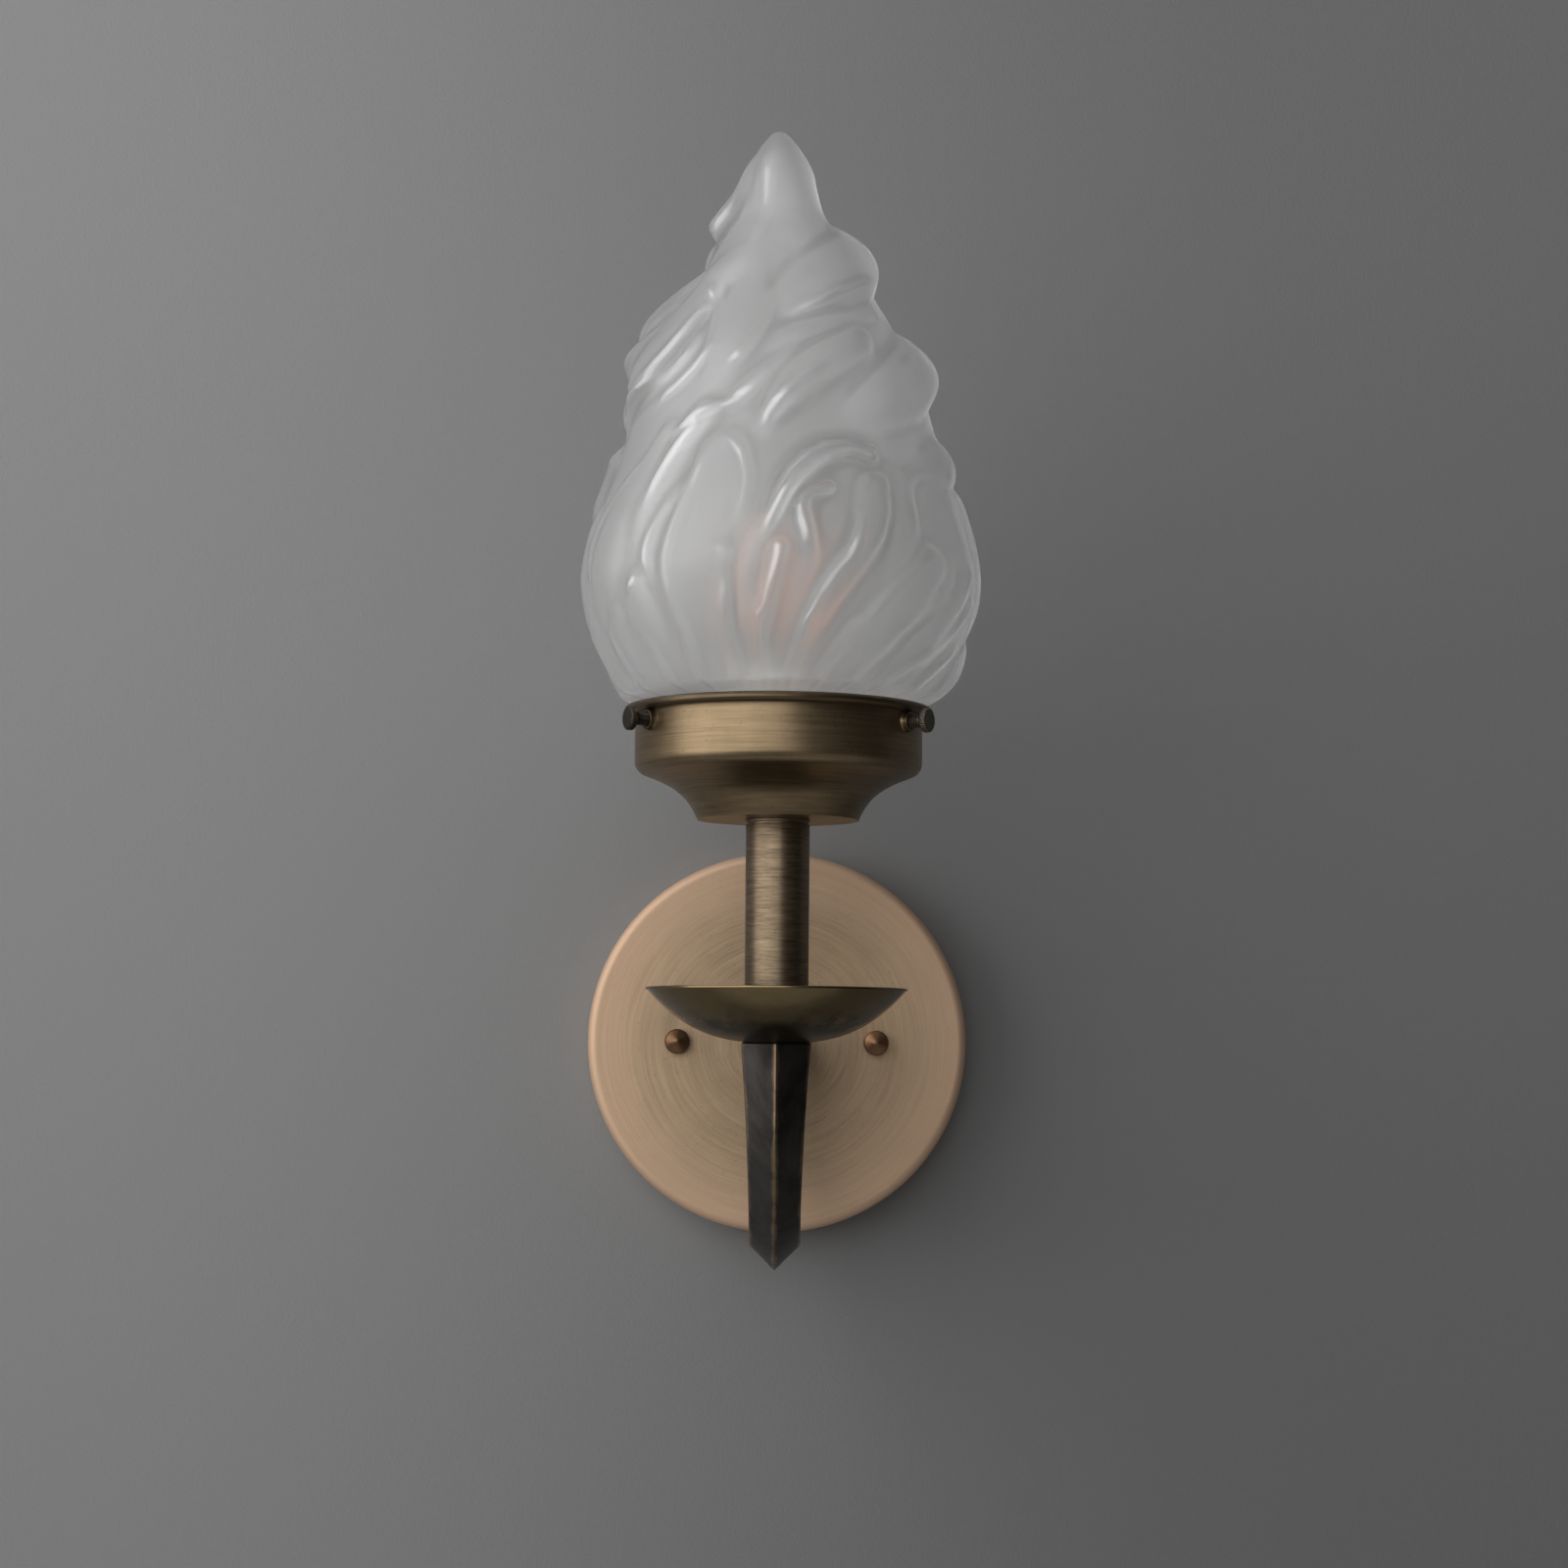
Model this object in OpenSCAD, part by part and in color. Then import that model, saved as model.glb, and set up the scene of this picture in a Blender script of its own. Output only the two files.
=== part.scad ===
// Torch sconce: a glass flame in a spun cup, on a candle tube, dish and curved arm from a round wall plate.
// Millimetres. The wall is the plane y = 0 and the plate's centre is the origin.
// The room is towards -Y, the lamp stands up along +Z, and +X is to the right as seen from the room.

/* [Wall plate] */
// Diameter of the round plate
plate_d = 133.35; // [125:0.05:150]
// Distance from the wall to the plate's face
plate_depth = 22; // [20:0.5:30]
// Sheet thickness of the plate
plate_wall = 1; // [0.8:0.1:1.6]
// Radius of the plate's rolled edge
plate_edge_r = 3.2; // [2:0.1:5]
// Distance between the two cap nuts
nut_spacing = 69.85; // [66:0.05:74]

/* [Cap nuts] */
// Diameter of a cap nut
cap_nut_d = 8.7; // [8:0.1:11]
// Height of a cap nut's straight part
cap_nut_h = 4; // [3:0.1:6]
// Height of a cap nut's cone
cap_nut_cone = 2.2; // [1:0.1:4]
// Diameter of the plate's studs and of the thumb screws
screw_d = 4.17; // [3.5:0.01:4.8]

/* [Wall bracket] */
// Length of the crossbar
bar_l = 106; // [104:0.5:110]
// Width of the crossbar
bar_w = 18; // [16:0.5:22]
// Thickness of the crossbar
bar_t = 2; // [1.5:0.1:3]
// Spacing of the two slots for the wall box screws
box_spacing = 88.9; // [88:0.1:91]
// Length of a slot, end to end
slot_l = 10; // [8:0.5:11]
// Width of a slot
slot_w = 4.8; // [4.2:0.1:5.4]
// Diameter of the crossbar's centre hole
bar_hole_d = 10; // [9:0.1:11]
// Place of the ground screw along the crossbar
ground_x = 19; // [16:0.5:22]
// Diameter of the ground screw
ground_d = 4.83; // [4:0.01:5.2]

/* [Arm] */
// Distance from the wall to the lamp's axis
reach = 132; // [124:1:150]
// Depth of the arm's lowest centre point below the plate's centre
arm_low = 66; // [62:0.5:76]
// Bend radius where the arm leaves the plate
arm_bend_r = 20; // [16:0.5:24]
// Half the diagonal of the arm's section under the dish
arm_top_hd = 11.3; // [10.5:0.1:13]
// Half the diagonal of the arm's section at its lowest point
arm_low_hd = 8.5; // [7.5:0.1:10]
// Half the diagonal of the arm's section at the plate
arm_root_hd = 10.5; // [9.5:0.1:11.5]
// Length over which the arm grows to its top size
arm_taper = 60; // [50:1:80]
// Width of the small flat worn along each edge
arm_edge = 0.9; // [0.4:0.1:1.6]
// Diameter of the wire way through the arm
arm_bore_d = 6.4; // [5.6:0.1:7.5]
// Diameter of the collar between arm and plate
collar_d = 23; // [21:0.5:26]
// Thickness of the collar
collar_t = 5; // [3:0.5:7]

/* [Threaded pipe] */
// Outer diameter of the lamp pipe and the nipple
pipe_d = 10.3; // [9.6:0.05:10.6]
// Bore of the lamp pipe and the nipple
pipe_bore = 6.8; // [5.6:0.1:7.2]
// How far pipe and nipple screw into the arm
pipe_grip = 11; // [8:0.5:14]
// Across the flats of the pipe nuts
pipe_nut_af = 14.3; // [13.5:0.1:17]
// Thickness of the pipe nuts
pipe_nut_t = 3.2; // [2.5:0.1:5]
// Diameter of the pipe washers
pipe_washer_d = 22; // [18:0.5:26]

/* [Dish] */
// Diameter of the dish
dish_d = 82.5; // [70:0.5:95]
// Height of the dish's rim above its foot
dish_h = 16.8; // [12:0.1:22]
// Fullness of the dish's curve
dish_curve = 2.9; // [2.2:0.1:3.4]
// Sheet thickness of the dish
dish_wall = 1.1; // [0.8:0.1:1.6]

/* [Candle tube] */
// Diameter of the tube
tube_d = 20.2; // [18:0.1:24]
// Wall of the tube
tube_wall = 0.8; // [0.6:0.1:1.2]
// Length of the tube
tube_l = 67.3; // [50:0.1:90]
// Height of the dark groove over the tube
groove_h = 0.7; // [0.4:0.1:1.5]
// Height of the neck ring
ring_h = 0.8; // [0.6:0.1:2.5]

/* [Shade cup] */
// Diameter of the cup's straight wall
cup_d = 90.9; // [89.5:0.1:94]
// Diameter of the cup's foot
cup_foot_d = 51.2; // [46:0.1:58]
// Height of the cup from foot to lip
cup_h = 35.5; // [34:0.1:40]
// Height of the shoulder's start above the foot
shoulder_h = 18; // [17:0.1:20]
// Radius of the shoulder
shoulder_r = 4; // [3:0.1:5]
// How far the lip stands out of the wall
lip_out = 3.5; // [2:0.1:5]
// Height of the lip
lip_h = 3; // [2:0.1:4]
// Sheet thickness of the cup
cup_wall = 0.9; // [0.7:0.1:1.2]

/* [Thumb screws] */
// Height of the screws below the lip's top
screw_drop = 6.3; // [5.8:0.1:7]
// Angle of the two front screws from the front
screw_az = 60; // [50:1:70]
// Diameter of a thumb screw's head
head_d = 7.5; // [6.5:0.1:9]
// Thickness of the head
head_t = 2.2; // [1.6:0.1:3.5]
// Length of the bare shank between boss and head
shank_bare = 4.3; // [3:0.1:6]
// Diameter of the screw bosses
boss_d = 6.5; // [6:0.1:7.5]
// Height of the bosses on the cup's wall
boss_h = 1.9; // [1.2:0.1:3]
// Length of the soft tip
tip_l = 1.5; // [1:0.1:2]

/* [Glass flame] */
// Outer diameter of the flame's neck
fitter_d = 82.55; // [81:0.05:84]
// Length of the neck
neck_l = 20; // [18:0.1:24]
// Height of the flame above the neck
flame_h = 186.8; // [150:0.5:220]
// Largest diameter of the flame's plain body
flame_d = 121.6; // [112:0.5:136]
// Glass thickness
glass_wall = 3.2; // [2.5:0.1:4.5]
// Depth of the relief, as a factor
relief = 1; // [0.6:0.05:1.3]

/* [Lamp holder and bulb] */
// Diameter of the porcelain body
socket_d = 38.8; // [37:0.1:42]
// Height of the porcelain body
socket_h = 31.6; // [28:0.1:36]
// Depth of the space for the wires under the porcelain
socket_room = 4; // [3.6:0.1:6]
// Diameter of the bulb's screw cap over its thread
bulb_cap_d = 26; // [25.4:0.05:26.2]
// Pitch of the bulb's thread
bulb_pitch = 3.63; // [3.2:0.01:4]
// Diameter of the bulb
bulb_d = 60; // [55:0.5:64]
// Height of the bulb from contact to top
bulb_h = 105; // [98:0.5:112]
// Number of light filaments
filament_n = 6; // [4:1:8]
// Length of a filament
filament_l = 34; // [28:0.5:38]

/* [Wires] */
// Diameter of a lead over its insulation
wire_d = 1.8; // [1.4:0.05:2]
// Diameter of a twist-on connector
connector_d = 10; // [8:0.5:12]
// Length of a twist-on connector
connector_l = 20; // [16:0.5:24]

/* [Hidden] */
$fn = 64;

// Clearances
thread_gap = 0.05;   // between a threaded part and its tapped hole, as radius
turn_gap = 0.06;     // between a thumb screw and its boss, as radius
slip_gap = 0.1;      // between parts that slide over each other at assembly, as radius
rest_gap = 0.3;      // between the glass and what it rests on
touch_gap = 0.08;    // between a tip and the glass neck
seat_gap = 0.02;     // between a curved part and the wall it sits on
eps = 0.01;

// Heights along the lamp's axis
arm_top_z = 0;
dish_floor_z = arm_top_z + dish_wall;
tube_top_z = dish_floor_z + tube_l;
ring_z = tube_top_z + groove_h;
cup_z = ring_z + ring_h;
lip_z = cup_z + cup_h;
screw_z = lip_z - screw_drop;
washer_t = 1.2;
cup_floor_z = cup_z + cup_wall;
pipe_nut_z = cup_floor_z + washer_t;
cap_hub_z = pipe_nut_z + pipe_nut_t;
cap_hub_h = 3.6;
cap_t = 0.8;
cap_floor_z = cap_hub_z + cap_hub_h - cap_t;
pipe_top_z = cap_hub_z + cap_hub_h - 0.4;
socket_z = cap_hub_z + cap_hub_h + socket_room;
socket_floor = 6;
contact_t = 1.6;
bulb_z = socket_z + socket_floor + contact_t;

// Arm centre line
arm_start_y = plate_depth + collar_t;
arm_lead = 3;
arm_drop_y = arm_start_y + arm_lead + arm_bend_r;
arm_turn_r = (reach - arm_drop_y) / 2;
arm_turn_z = arm_turn_r - arm_low;

// Cup
cup_r = cup_d / 2;
cup_in_r = cup_r - cup_wall;
cup_foot_r = cup_foot_d / 2;
fitter_r = fitter_d / 2;

// Glass flame: plain body as [height above the neck, radius], scaled to flame_h and flame_d where it is used
FLAME_BODY = [[4.2, 49.8], [8.2, 52.2], [15.2, 55.2], [25.2, 58.6], [35.2, 60.6], [43.2, 60.8], [53.2, 59],
    [63.2, 55.8], [73.2, 52], [83.2, 49], [93.2, 46.6], [103.2, 44], [113.2, 39.5], [123.2, 33.5],
    [133.2, 27.5], [143.2, 22.5], [151.2, 18.2], [158.2, 13.4], [165.2, 11.3], [173.2, 9.7], [179.2, 7.2],
    [183.7, 4.4], [186.2, 2], [186.8, 0]];
FORM_H = FLAME_BODY[len(FLAME_BODY) - 1][0];
FORM_D = 2 * max([for (p = FLAME_BODY) p[1]]);
// How far the flutes have swung round, as [height above the neck, degrees]
FLAME_SWIRL = [[0, 0], [20, 0], [45, 4], [75, 22], [100, 48], [125, 72], [150, 92], [187, 100]];
// Each tongue: four points of its middle line as [azimuth, height above the neck], half width, lift,
// side of its crisp edge from -1 left to 1 right, hollow of its middle, taper to its tip, width at its
// foot as a share, fall of the lift towards the tip, and share of the azimuth for its copy on the back, 0 for none.
// Azimuth 0 is the front and rises to the right.
TONGUES = [
    [[18, 131], [26, 149], [20, 167], [8, 183], 13, 3.2, -0.6, 0.1, 0, 0.8, 0.3, 0.85],
    [[-108, 149], [-97, 155], [-84, 162], [-62, 176], 6.5, 9.5, 0.2, 0, 0.4, 0.9, 0.7, 0],
    [[-36, 91], [-23, 104], [-20, 118], [-27, 135], 7.5, 5.2, -0.5, 0.3, 0, 0.5, 0.2, 0.85],
    [[-12, 113], [16, 126], [46, 136], [86, 146], 11.5, 9.6, -0.3, 0.1, 0, 0.6, 0, 0.62],
    [[-18, 99], [6, 111], [28, 118], [52, 123], 6, 4.8, 0.2, 0, 0.3, 0.6, 0.3, 0.85],
    [[-8, 73], [-1, 88], [12, 100], [31, 110], 7.5, 6.3, -0.1, 0.1, 0, 0.45, 0, 0.85],
    [[16, 79], [38, 90], [62, 101], [91, 112], 11, 9, -0.5, 0.1, 0, 0.5, 0, 0.62],
    [[-28, 83], [-16, 90], [-5, 98], [8, 109], 5, 3.8, 0, 0, 0.4, 0.6, 0.3, 0.85],
    [[-96, 87], [-80, 102], [-64, 116], [-42, 134], 13, 7.2, 0.2, 0.1, 0.2, 0.6, 0.2, 0.85],
    [[-116, 105], [-99, 119], [-80, 129], [-52, 135], 9.5, 12.5, -0.6, 0.05, 0.3, 0.7, 0.7, 0],
    [[-112, 97], [-96, 108], [-78, 117], [-54, 127], 5.5, 9.8, 0.3, 0, 0.5, 0.7, 0.6, 0],
    [[-92, 81], [-72, 95], [-56, 105], [-42, 121], 5.5, 7.6, 0.6, 0.1, 0.4, 0.6, 0.2, 0.85],
    [[-112, 85], [-102, 93], [-92, 101], [-76, 111], 7.5, 6, 0, 0, 0.5, 0.7, 0.4, 0],
    [[-46, 31], [-45, 52], [-38, 71], [-28, 86], 7.5, 4.6, 0.2, 0.1, 0.3, 0.6, 0, 0.85],
    [[-25, 1], [-27, 29], [-21, 53], [-19, 72], 8.8, 4.6, -0.7, 0.45, 0, 0.8, 0, 0.85],
    [[-64, 7], [-62, 37], [-54, 58], [-43, 81], 11, 5, -0.6, 0.3, 0.6, 0.7, 0, 0.85],
    [[-122, 49], [-110, 61], [-100, 70], [-88, 79], 7.5, 8.5, 0, 0, 0.3, 0.7, 0.4, 0],
    [[-38, 1], [-41, 17], [-44, 27], [-45, 34], 5.5, 3.6, -0.7, 0.2, 0.2, 0.8, 0, 0.85],
    [[-52, -1], [-56, 10], [-58, 19], [-57, 25], 6, 3.2, -0.7, 0.2, 0.2, 0.8, 0, 0.85],
    [[-72, -1], [-80, 19], [-84, 41], [-81, 58], 8, 3.6, -0.3, 0.2, 0.3, 0.8, 0, 0],
    [[-17, -1], [-18, 14], [-18, 28], [-17, 41], 4.8, 3.8, 0, 0.2, 0, 0.9, 0, 0.85],
    [[-8, -1], [-9, 17], [-9, 35], [-4, 51], 4.6, 2.6, 0, 0.1, 0.4, 0.9, 0, 0.85],
    [[-7, 3], [-5, 19], [-2, 32], [0, 42], 4, 3.6, 0, 0, 0.1, 0.8, 0, 0.85],
    [[-9, 35], [0, 56], [11, 71], [30, 73], 4.6, 6.8, 0.8, 0, 0.3, 0.5, 0.1, 0.85],
    [[7, 29], [8, 44], [6, 55], [14, 61], 3.6, 5.6, 0.6, 0, 0.3, 0.7, 0.1, 0.85],
    [[4, -3], [12, 25], [24, 44], [30, 63], 5.2, 6, -0.5, 0.3, 0, 0.7, 0, 0.85],
    [[20, 7], [33, 28], [38, 47], [38, 67], 7, 3.4, 0, 0.2, 0.3, 0.8, 0, 0.85],
    [[15, -1], [27, 15], [39, 29], [47, 39], 8, 6, 0.6, 0.25, 0, 0.6, 0, 0.85],
    [[34, -1], [46, 13], [57, 26], [66, 39], 7, 5, 0.5, 0.1, 0.1, 0.7, 0, 0.85],
    [[68, 3], [67, 29], [61, 47], [57, 59], 12, 3.9, -0.7, 0.2, 0, 0.8, 0, 0.85],
    [[44, 61], [60, 71], [78, 77], [102, 79], 8.5, 6, 0, 0.1, 0, 0.6, 0, 0],
    [[78, -3], [88, 8], [97, 17], [106, 23], 6.5, 4.4, 0, 0, 0.2, 0.8, 0, 0],
    [[100, 11], [98, 29], [93, 48], [87, 66], 8.5, 4.5, 0, 0.1, 0.3, 0.9, 0, 0]];
flame_sides = 64;
flame_rings = 52;
flame_inner_rings = 16;
// How much of the relief shows on the inside, and the solid glass in the tip in wall thicknesses
inner_share = 0.45;
tip_solid = 2.2;
// How far the tip leans to the left
tip_lean = 1.3;

// ---------- helpers ----------
function ease(a, b, x) = let (t = min(1, max(0, (x - a) / (b - a)))) t * t * (3 - 2 * t);
function mix(a, b, t) = a + (b - a) * t;
function wrap_deg(a) = a - 360 * round(a / 360);
function unit(v) = v / norm(v);
function bezier(a, b, c, d, n) = [for (i = [0 : n]) let (t = i / n, s = 1 - t)
    s * s * s * a + 3 * s * s * t * b + 3 * s * t * t * c + t * t * t * d];
function arc(centre, r, from, to, n) = [for (i = [0 : n]) let (a = mix(from, to, i / n))
    centre + r * [cos(a), sin(a)]];
function backwards(list) = [for (i = [len(list) - 1 : -1 : 0]) list[i]];
// A path moved sideways by d to its left
function beside(path, d) = [for (i = [0 : len(path) - 1]) let (
    t = unit(path[min(i + 1, len(path) - 1)] - path[max(i - 1, 0)])) path[i] + d * [-t[1], t[0]]];

// Round parts about the lamp's axis
module on_axis() {
    translate([0, -reach, 0]) children();
}

// Parts whose own +Z points out of the wall
module off_wall() {
    rotate([90, 0, 0]) children();
}

// A screw place on the cup: the child's own +Z points out of the cup, with its origin on the lamp's axis
module at_screw(az) {
    on_axis() translate([0, 0, screw_z]) rotate([0, 0, az]) off_wall() children();
}

module ring(r_out, r_in, h) {
    difference() {
        cylinder(r = r_out, h = h);
        translate([0, 0, -eps]) cylinder(r = r_in, h = h + 2 * eps);
    }
}

module hex_nut(across, r_in, h) {
    difference() {
        cylinder(r = across / sqrt(3), h = h, $fn = 6);
        translate([0, 0, -eps]) cylinder(r = r_in, h = h + 2 * eps);
    }
}

// A round tube of several sides along a path in space
function tangents(p) = [for (i = [0 : len(p) - 1]) unit(p[min(i + 1, len(p) - 1)] - p[max(i - 1, 0)])];
function carried(t) = [for (i = 0, n = unit(cross(t[0], [0.3, 0.5, 0.8])); i < len(t);
    i = i + 1, n = i < len(t) ? unit(n - (n * t[i]) * t[i]) : n) n];

module tube_along(path, r, sides) {
    t = tangents(path);
    n = carried(t);
    last = len(path) - 1;
    points = [for (i = [0 : last]) for (j = [0 : sides - 1])
        path[i] + r * (cos(360 * j / sides) * n[i] + sin(360 * j / sides) * cross(t[i], n[i]))];
    faces = concat(
        [for (i = [0 : last - 1]) for (j = [0 : sides - 1]) let (k = (j + 1) % sides)
            each [[i * sides + j, (i + 1) * sides + j, i * sides + k],
                [i * sides + k, (i + 1) * sides + j, (i + 1) * sides + k]]],
        [for (j = [1 : sides - 2]) [0, j, j + 1]],
        [for (j = [1 : sides - 2]) [last * sides, last * sides + j + 1, last * sides + j]]);
    polyhedron(points, faces);
}

// ---------- wall plate and bracket ----------
module wall_bracket() {
    color("lightsteelblue") off_wall() difference() {
        intersection() {
            translate([-bar_l / 2, -bar_w / 2, 0]) cube([bar_l, bar_w, bar_t]);
            cylinder(d = bar_l, h = bar_t);
        }
        translate([0, 0, -eps]) {
            cylinder(d = bar_hole_d, h = bar_t + 2 * eps);
            for (side = [-1, 1]) translate([side * nut_spacing / 2, 0, 0])
                cylinder(r = screw_d / 2 + thread_gap, h = bar_t + 2 * eps);
            translate([ground_x, 0, 0]) cylinder(r = ground_d / 2 + thread_gap, h = bar_t + 2 * eps);
            for (side = [-1, 1]) translate([side * box_spacing / 2, 0, 0]) box_slot();
        }
    }
}

module box_slot() {
    half = (slot_l - slot_w) / 2;
    for (end = [-1, 1]) translate([end * half, 0, 0]) cylinder(d = slot_w, h = bar_t + 2 * eps);
    translate([-half, -slot_w / 2, 0]) cube([2 * half, slot_w, bar_t + 2 * eps]);
}

ground_head_d = 9;
ground_head_t = 3;

module ground_screw() {
    color("seagreen") off_wall() translate([ground_x, 0, 0]) {
        cylinder(d = ground_d, h = bar_t);
        translate([0, 0, bar_t]) difference() {
            cylinder(d = ground_head_d, h = ground_head_t);
            translate([-ground_head_d, -0.5, ground_head_t - 1]) cube([2 * ground_head_d, 1, 1 + eps]);
        }
    }
}

module canopy() {
    r = plate_d / 2;
    outline = concat(
        [[0, plate_depth]],
        backwards(arc([r - plate_edge_r, plate_depth - plate_edge_r], plate_edge_r, 0, 90, 8)),
        [[r, 0], [r - plate_wall, 0]],
        arc([r - plate_edge_r, plate_depth - plate_edge_r], plate_edge_r - plate_wall, 0, 90, 8),
        [[0, plate_depth - plate_wall]]);
    color("burlywood") off_wall() difference() {
        rotate_extrude($fn = 128) polygon(outline);
        translate([0, 0, plate_depth - plate_wall - 1]) {
            cylinder(r = pipe_d / 2 + slip_gap, h = plate_wall + 2);
            for (side = [-1, 1]) translate([side * nut_spacing / 2, 0, 0])
                cylinder(r = screw_d / 2 + 2 * slip_gap, h = plate_wall + 2);
        }
    }
}

stud_l = plate_depth + cap_nut_h - 0.5;

module canopy_studs() {
    color("goldenrod") off_wall() for (side = [-1, 1]) translate([side * nut_spacing / 2, 0, 0])
        cylinder(d = screw_d, h = stud_l);
}

stud_nut_af = 8.73;
stud_nut_t = 3;

module stud_lock_nuts() {
    color("silver") off_wall() for (side = [-1, 1]) translate([side * nut_spacing / 2, 0, bar_t])
        hex_nut(stud_nut_af, screw_d / 2 + thread_gap, stud_nut_t);
}

module cap_nuts() {
    blind = cap_nut_h - 0.4;
    color("peru") off_wall() for (side = [-1, 1]) translate([side * nut_spacing / 2, 0, plate_depth])
        difference() {
            union() {
                cylinder(d = cap_nut_d, h = cap_nut_h - 0.4);
                translate([0, 0, cap_nut_h - 0.4]) cylinder(d1 = cap_nut_d, d2 = cap_nut_d - 0.8, h = 0.4);
                translate([0, 0, cap_nut_h]) cylinder(d1 = cap_nut_d - 0.8, d2 = 0.4, h = cap_nut_cone);
            }
            translate([0, 0, -eps]) cylinder(r = screw_d / 2 + thread_gap, h = blind);
        }
}

// ---------- arm ----------
nipple_in = 7.5;
washer_stack = 1.2;

module arm_nipple() {
    from = plate_depth - plate_wall - nipple_in;
    color("darkkhaki") off_wall() translate([0, 0, from])
        ring(pipe_d / 2, pipe_bore / 2, arm_start_y + pipe_grip - from);
}

module nipple_washer() {
    color("silver") off_wall() translate([0, 0, plate_depth - plate_wall - washer_stack])
        ring(pipe_washer_d / 2, pipe_d / 2 + thread_gap, washer_stack);
}

module nipple_nut() {
    color("silver") off_wall() translate([0, 0, plate_depth - plate_wall - washer_stack - pipe_nut_t])
        hex_nut(pipe_nut_af, pipe_d / 2 + thread_gap, pipe_nut_t);
}

module arm_collar() {
    r = collar_d / 2;
    color("dimgray") off_wall() translate([0, 0, plate_depth]) difference() {
        union() {
            cylinder(r = r, h = collar_t / 2);
            translate([0, 0, collar_t / 2]) cylinder(r1 = r, r2 = r - 0.8, h = collar_t / 2);
        }
        translate([0, 0, -eps]) cylinder(r = pipe_d / 2 + slip_gap, h = collar_t + 2 * eps);
    }
}

// Stations along the arm from the plate to the dish: [y, z, direction], where 180 is away from the wall
arm_path = concat(
    [[-arm_start_y, 0, 180]],
    [for (i = [0 : 10]) let (a = 180 + 9 * i)
        [-arm_start_y - arm_lead + arm_bend_r * cos(a - 90), -arm_bend_r + arm_bend_r * sin(a - 90), a]],
    [for (i = [0 : 24]) let (a = 270 - 7.5 * i)
        [-reach + arm_turn_r + arm_turn_r * cos(a + 90), arm_turn_z + arm_turn_r * sin(a + 90), a]],
    [for (i = [1 : 8]) [-reach, arm_turn_z + (arm_top_z - 0.8 - arm_turn_z) * i / 8, 90]],
    [[-reach, arm_top_z, 90]]);
function arm_step(i) = i + 1 < len(arm_path)
    ? norm([arm_path[i + 1][0] - arm_path[i][0], arm_path[i + 1][1] - arm_path[i][1]]) : 0;
arm_runs = [for (i = 0, s = 0; i < len(arm_path); s = s + arm_step(i), i = i + 1) s];
arm_length = arm_runs[len(arm_runs) - 1];

// Half diagonal of the section at a distance along the arm, with its top and root edges eased
function arm_hd(s) = let (
    to_top = min(1, (arm_length - s) / arm_taper),
    top = mix(arm_top_hd, arm_low_hd, 1 - pow(1 - to_top, 1.8)),
    root = (arm_root_hd - arm_low_hd) * (1 - ease(0, arm_lead + arm_bend_r, s)),
    eased = 0.7 * (1 - ease(0, 0.8, arm_length - s))) top + root - eased;

// The section is a square on its corner with a narrow flat along each edge
function arm_corner(k, hd) = let (a = 90 * floor(k / 2), side = k % 2 == 0 ? -1 : 1)
    (hd - arm_edge / 2) * [cos(a), sin(a)] + side * arm_edge / 2 * [-sin(a), cos(a)];

// A point of a section: x is across the arm and n is in the arm's plane, to the left of its direction
function arm_point(station, x, n) = [x, station[0] - n * sin(station[2]), station[1] + n * cos(station[2])];

module arm() {
    count = len(arm_path);
    sides = 8;
    outer = [for (i = [0 : count - 1]) for (k = [0 : sides - 1])
        let (c = arm_corner(k, arm_hd(arm_runs[i]))) arm_point(arm_path[i], c[0], c[1])];
    inner = [for (i = [0 : count - 1]) for (k = [0 : sides - 1])
        let (c = arm_bore_d / 2 * unit(arm_corner(k, 10))) arm_point(arm_path[i], c[0], c[1])];
    base = count * sides;
    top = (count - 1) * sides;
    faces = concat(
        [for (i = [0 : count - 2]) for (k = [0 : sides - 1]) let (j = (k + 1) % sides)
            each [[i * sides + k, i * sides + j, (i + 1) * sides + k],
                [i * sides + j, (i + 1) * sides + j, (i + 1) * sides + k]]],
        [for (i = [0 : count - 2]) for (k = [0 : sides - 1]) let (j = (k + 1) % sides)
            each [[base + i * sides + k, base + (i + 1) * sides + k, base + i * sides + j],
                [base + i * sides + j, base + (i + 1) * sides + k, base + (i + 1) * sides + j]]],
        [for (k = [0 : sides - 1]) let (j = (k + 1) % sides)
            each [[k, base + k, j], [j, base + k, base + j]]],
        [for (k = [0 : sides - 1]) let (j = (k + 1) % sides)
            each [[top + k, top + j, base + top + k], [top + j, base + top + j, base + top + k]]]);
    color("dimgray") difference() {
        polyhedron(concat(outer, inner), faces);
        on_axis() translate([0, 0, arm_top_z - pipe_grip - 0.5])
            cylinder(r = pipe_d / 2 + thread_gap, h = pipe_grip + 1);
        off_wall() translate([0, 0, arm_start_y - 0.5])
            cylinder(r = pipe_d / 2 + thread_gap, h = pipe_grip + 1);
    }
}

// ---------- dish, tube, pipe and ring ----------
dish_foot_r = 11.5;
function dish_rise(r) = dish_h * pow(2 * r / dish_d, dish_curve);
function dish_z(r) = max(0, dish_rise(r) - dish_rise(dish_foot_r));

module bobeche() {
    r = dish_d / 2;
    rim = dish_h - dish_z(r);
    under = [for (i = [0 : 18]) let (q = mix(dish_foot_r, r - 0.3, i / 18)) [q, dish_z(q) + rim * i / 18]];
    inside = backwards(beside(under, dish_wall));
    color("darkolivegreen") on_axis() rotate_extrude($fn = 96) polygon(concat(
        [[pipe_d / 2 + slip_gap, arm_top_z]],
        under,
        [[r, dish_h - 0.3], [r, dish_h], [r - 1, dish_h + 0.2]],
        [for (p = inside) if (p[0] < r - 1.3) [p[0], max(dish_wall, p[1])]],
        [[pipe_d / 2 + slip_gap, dish_wall]]));
}

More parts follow.
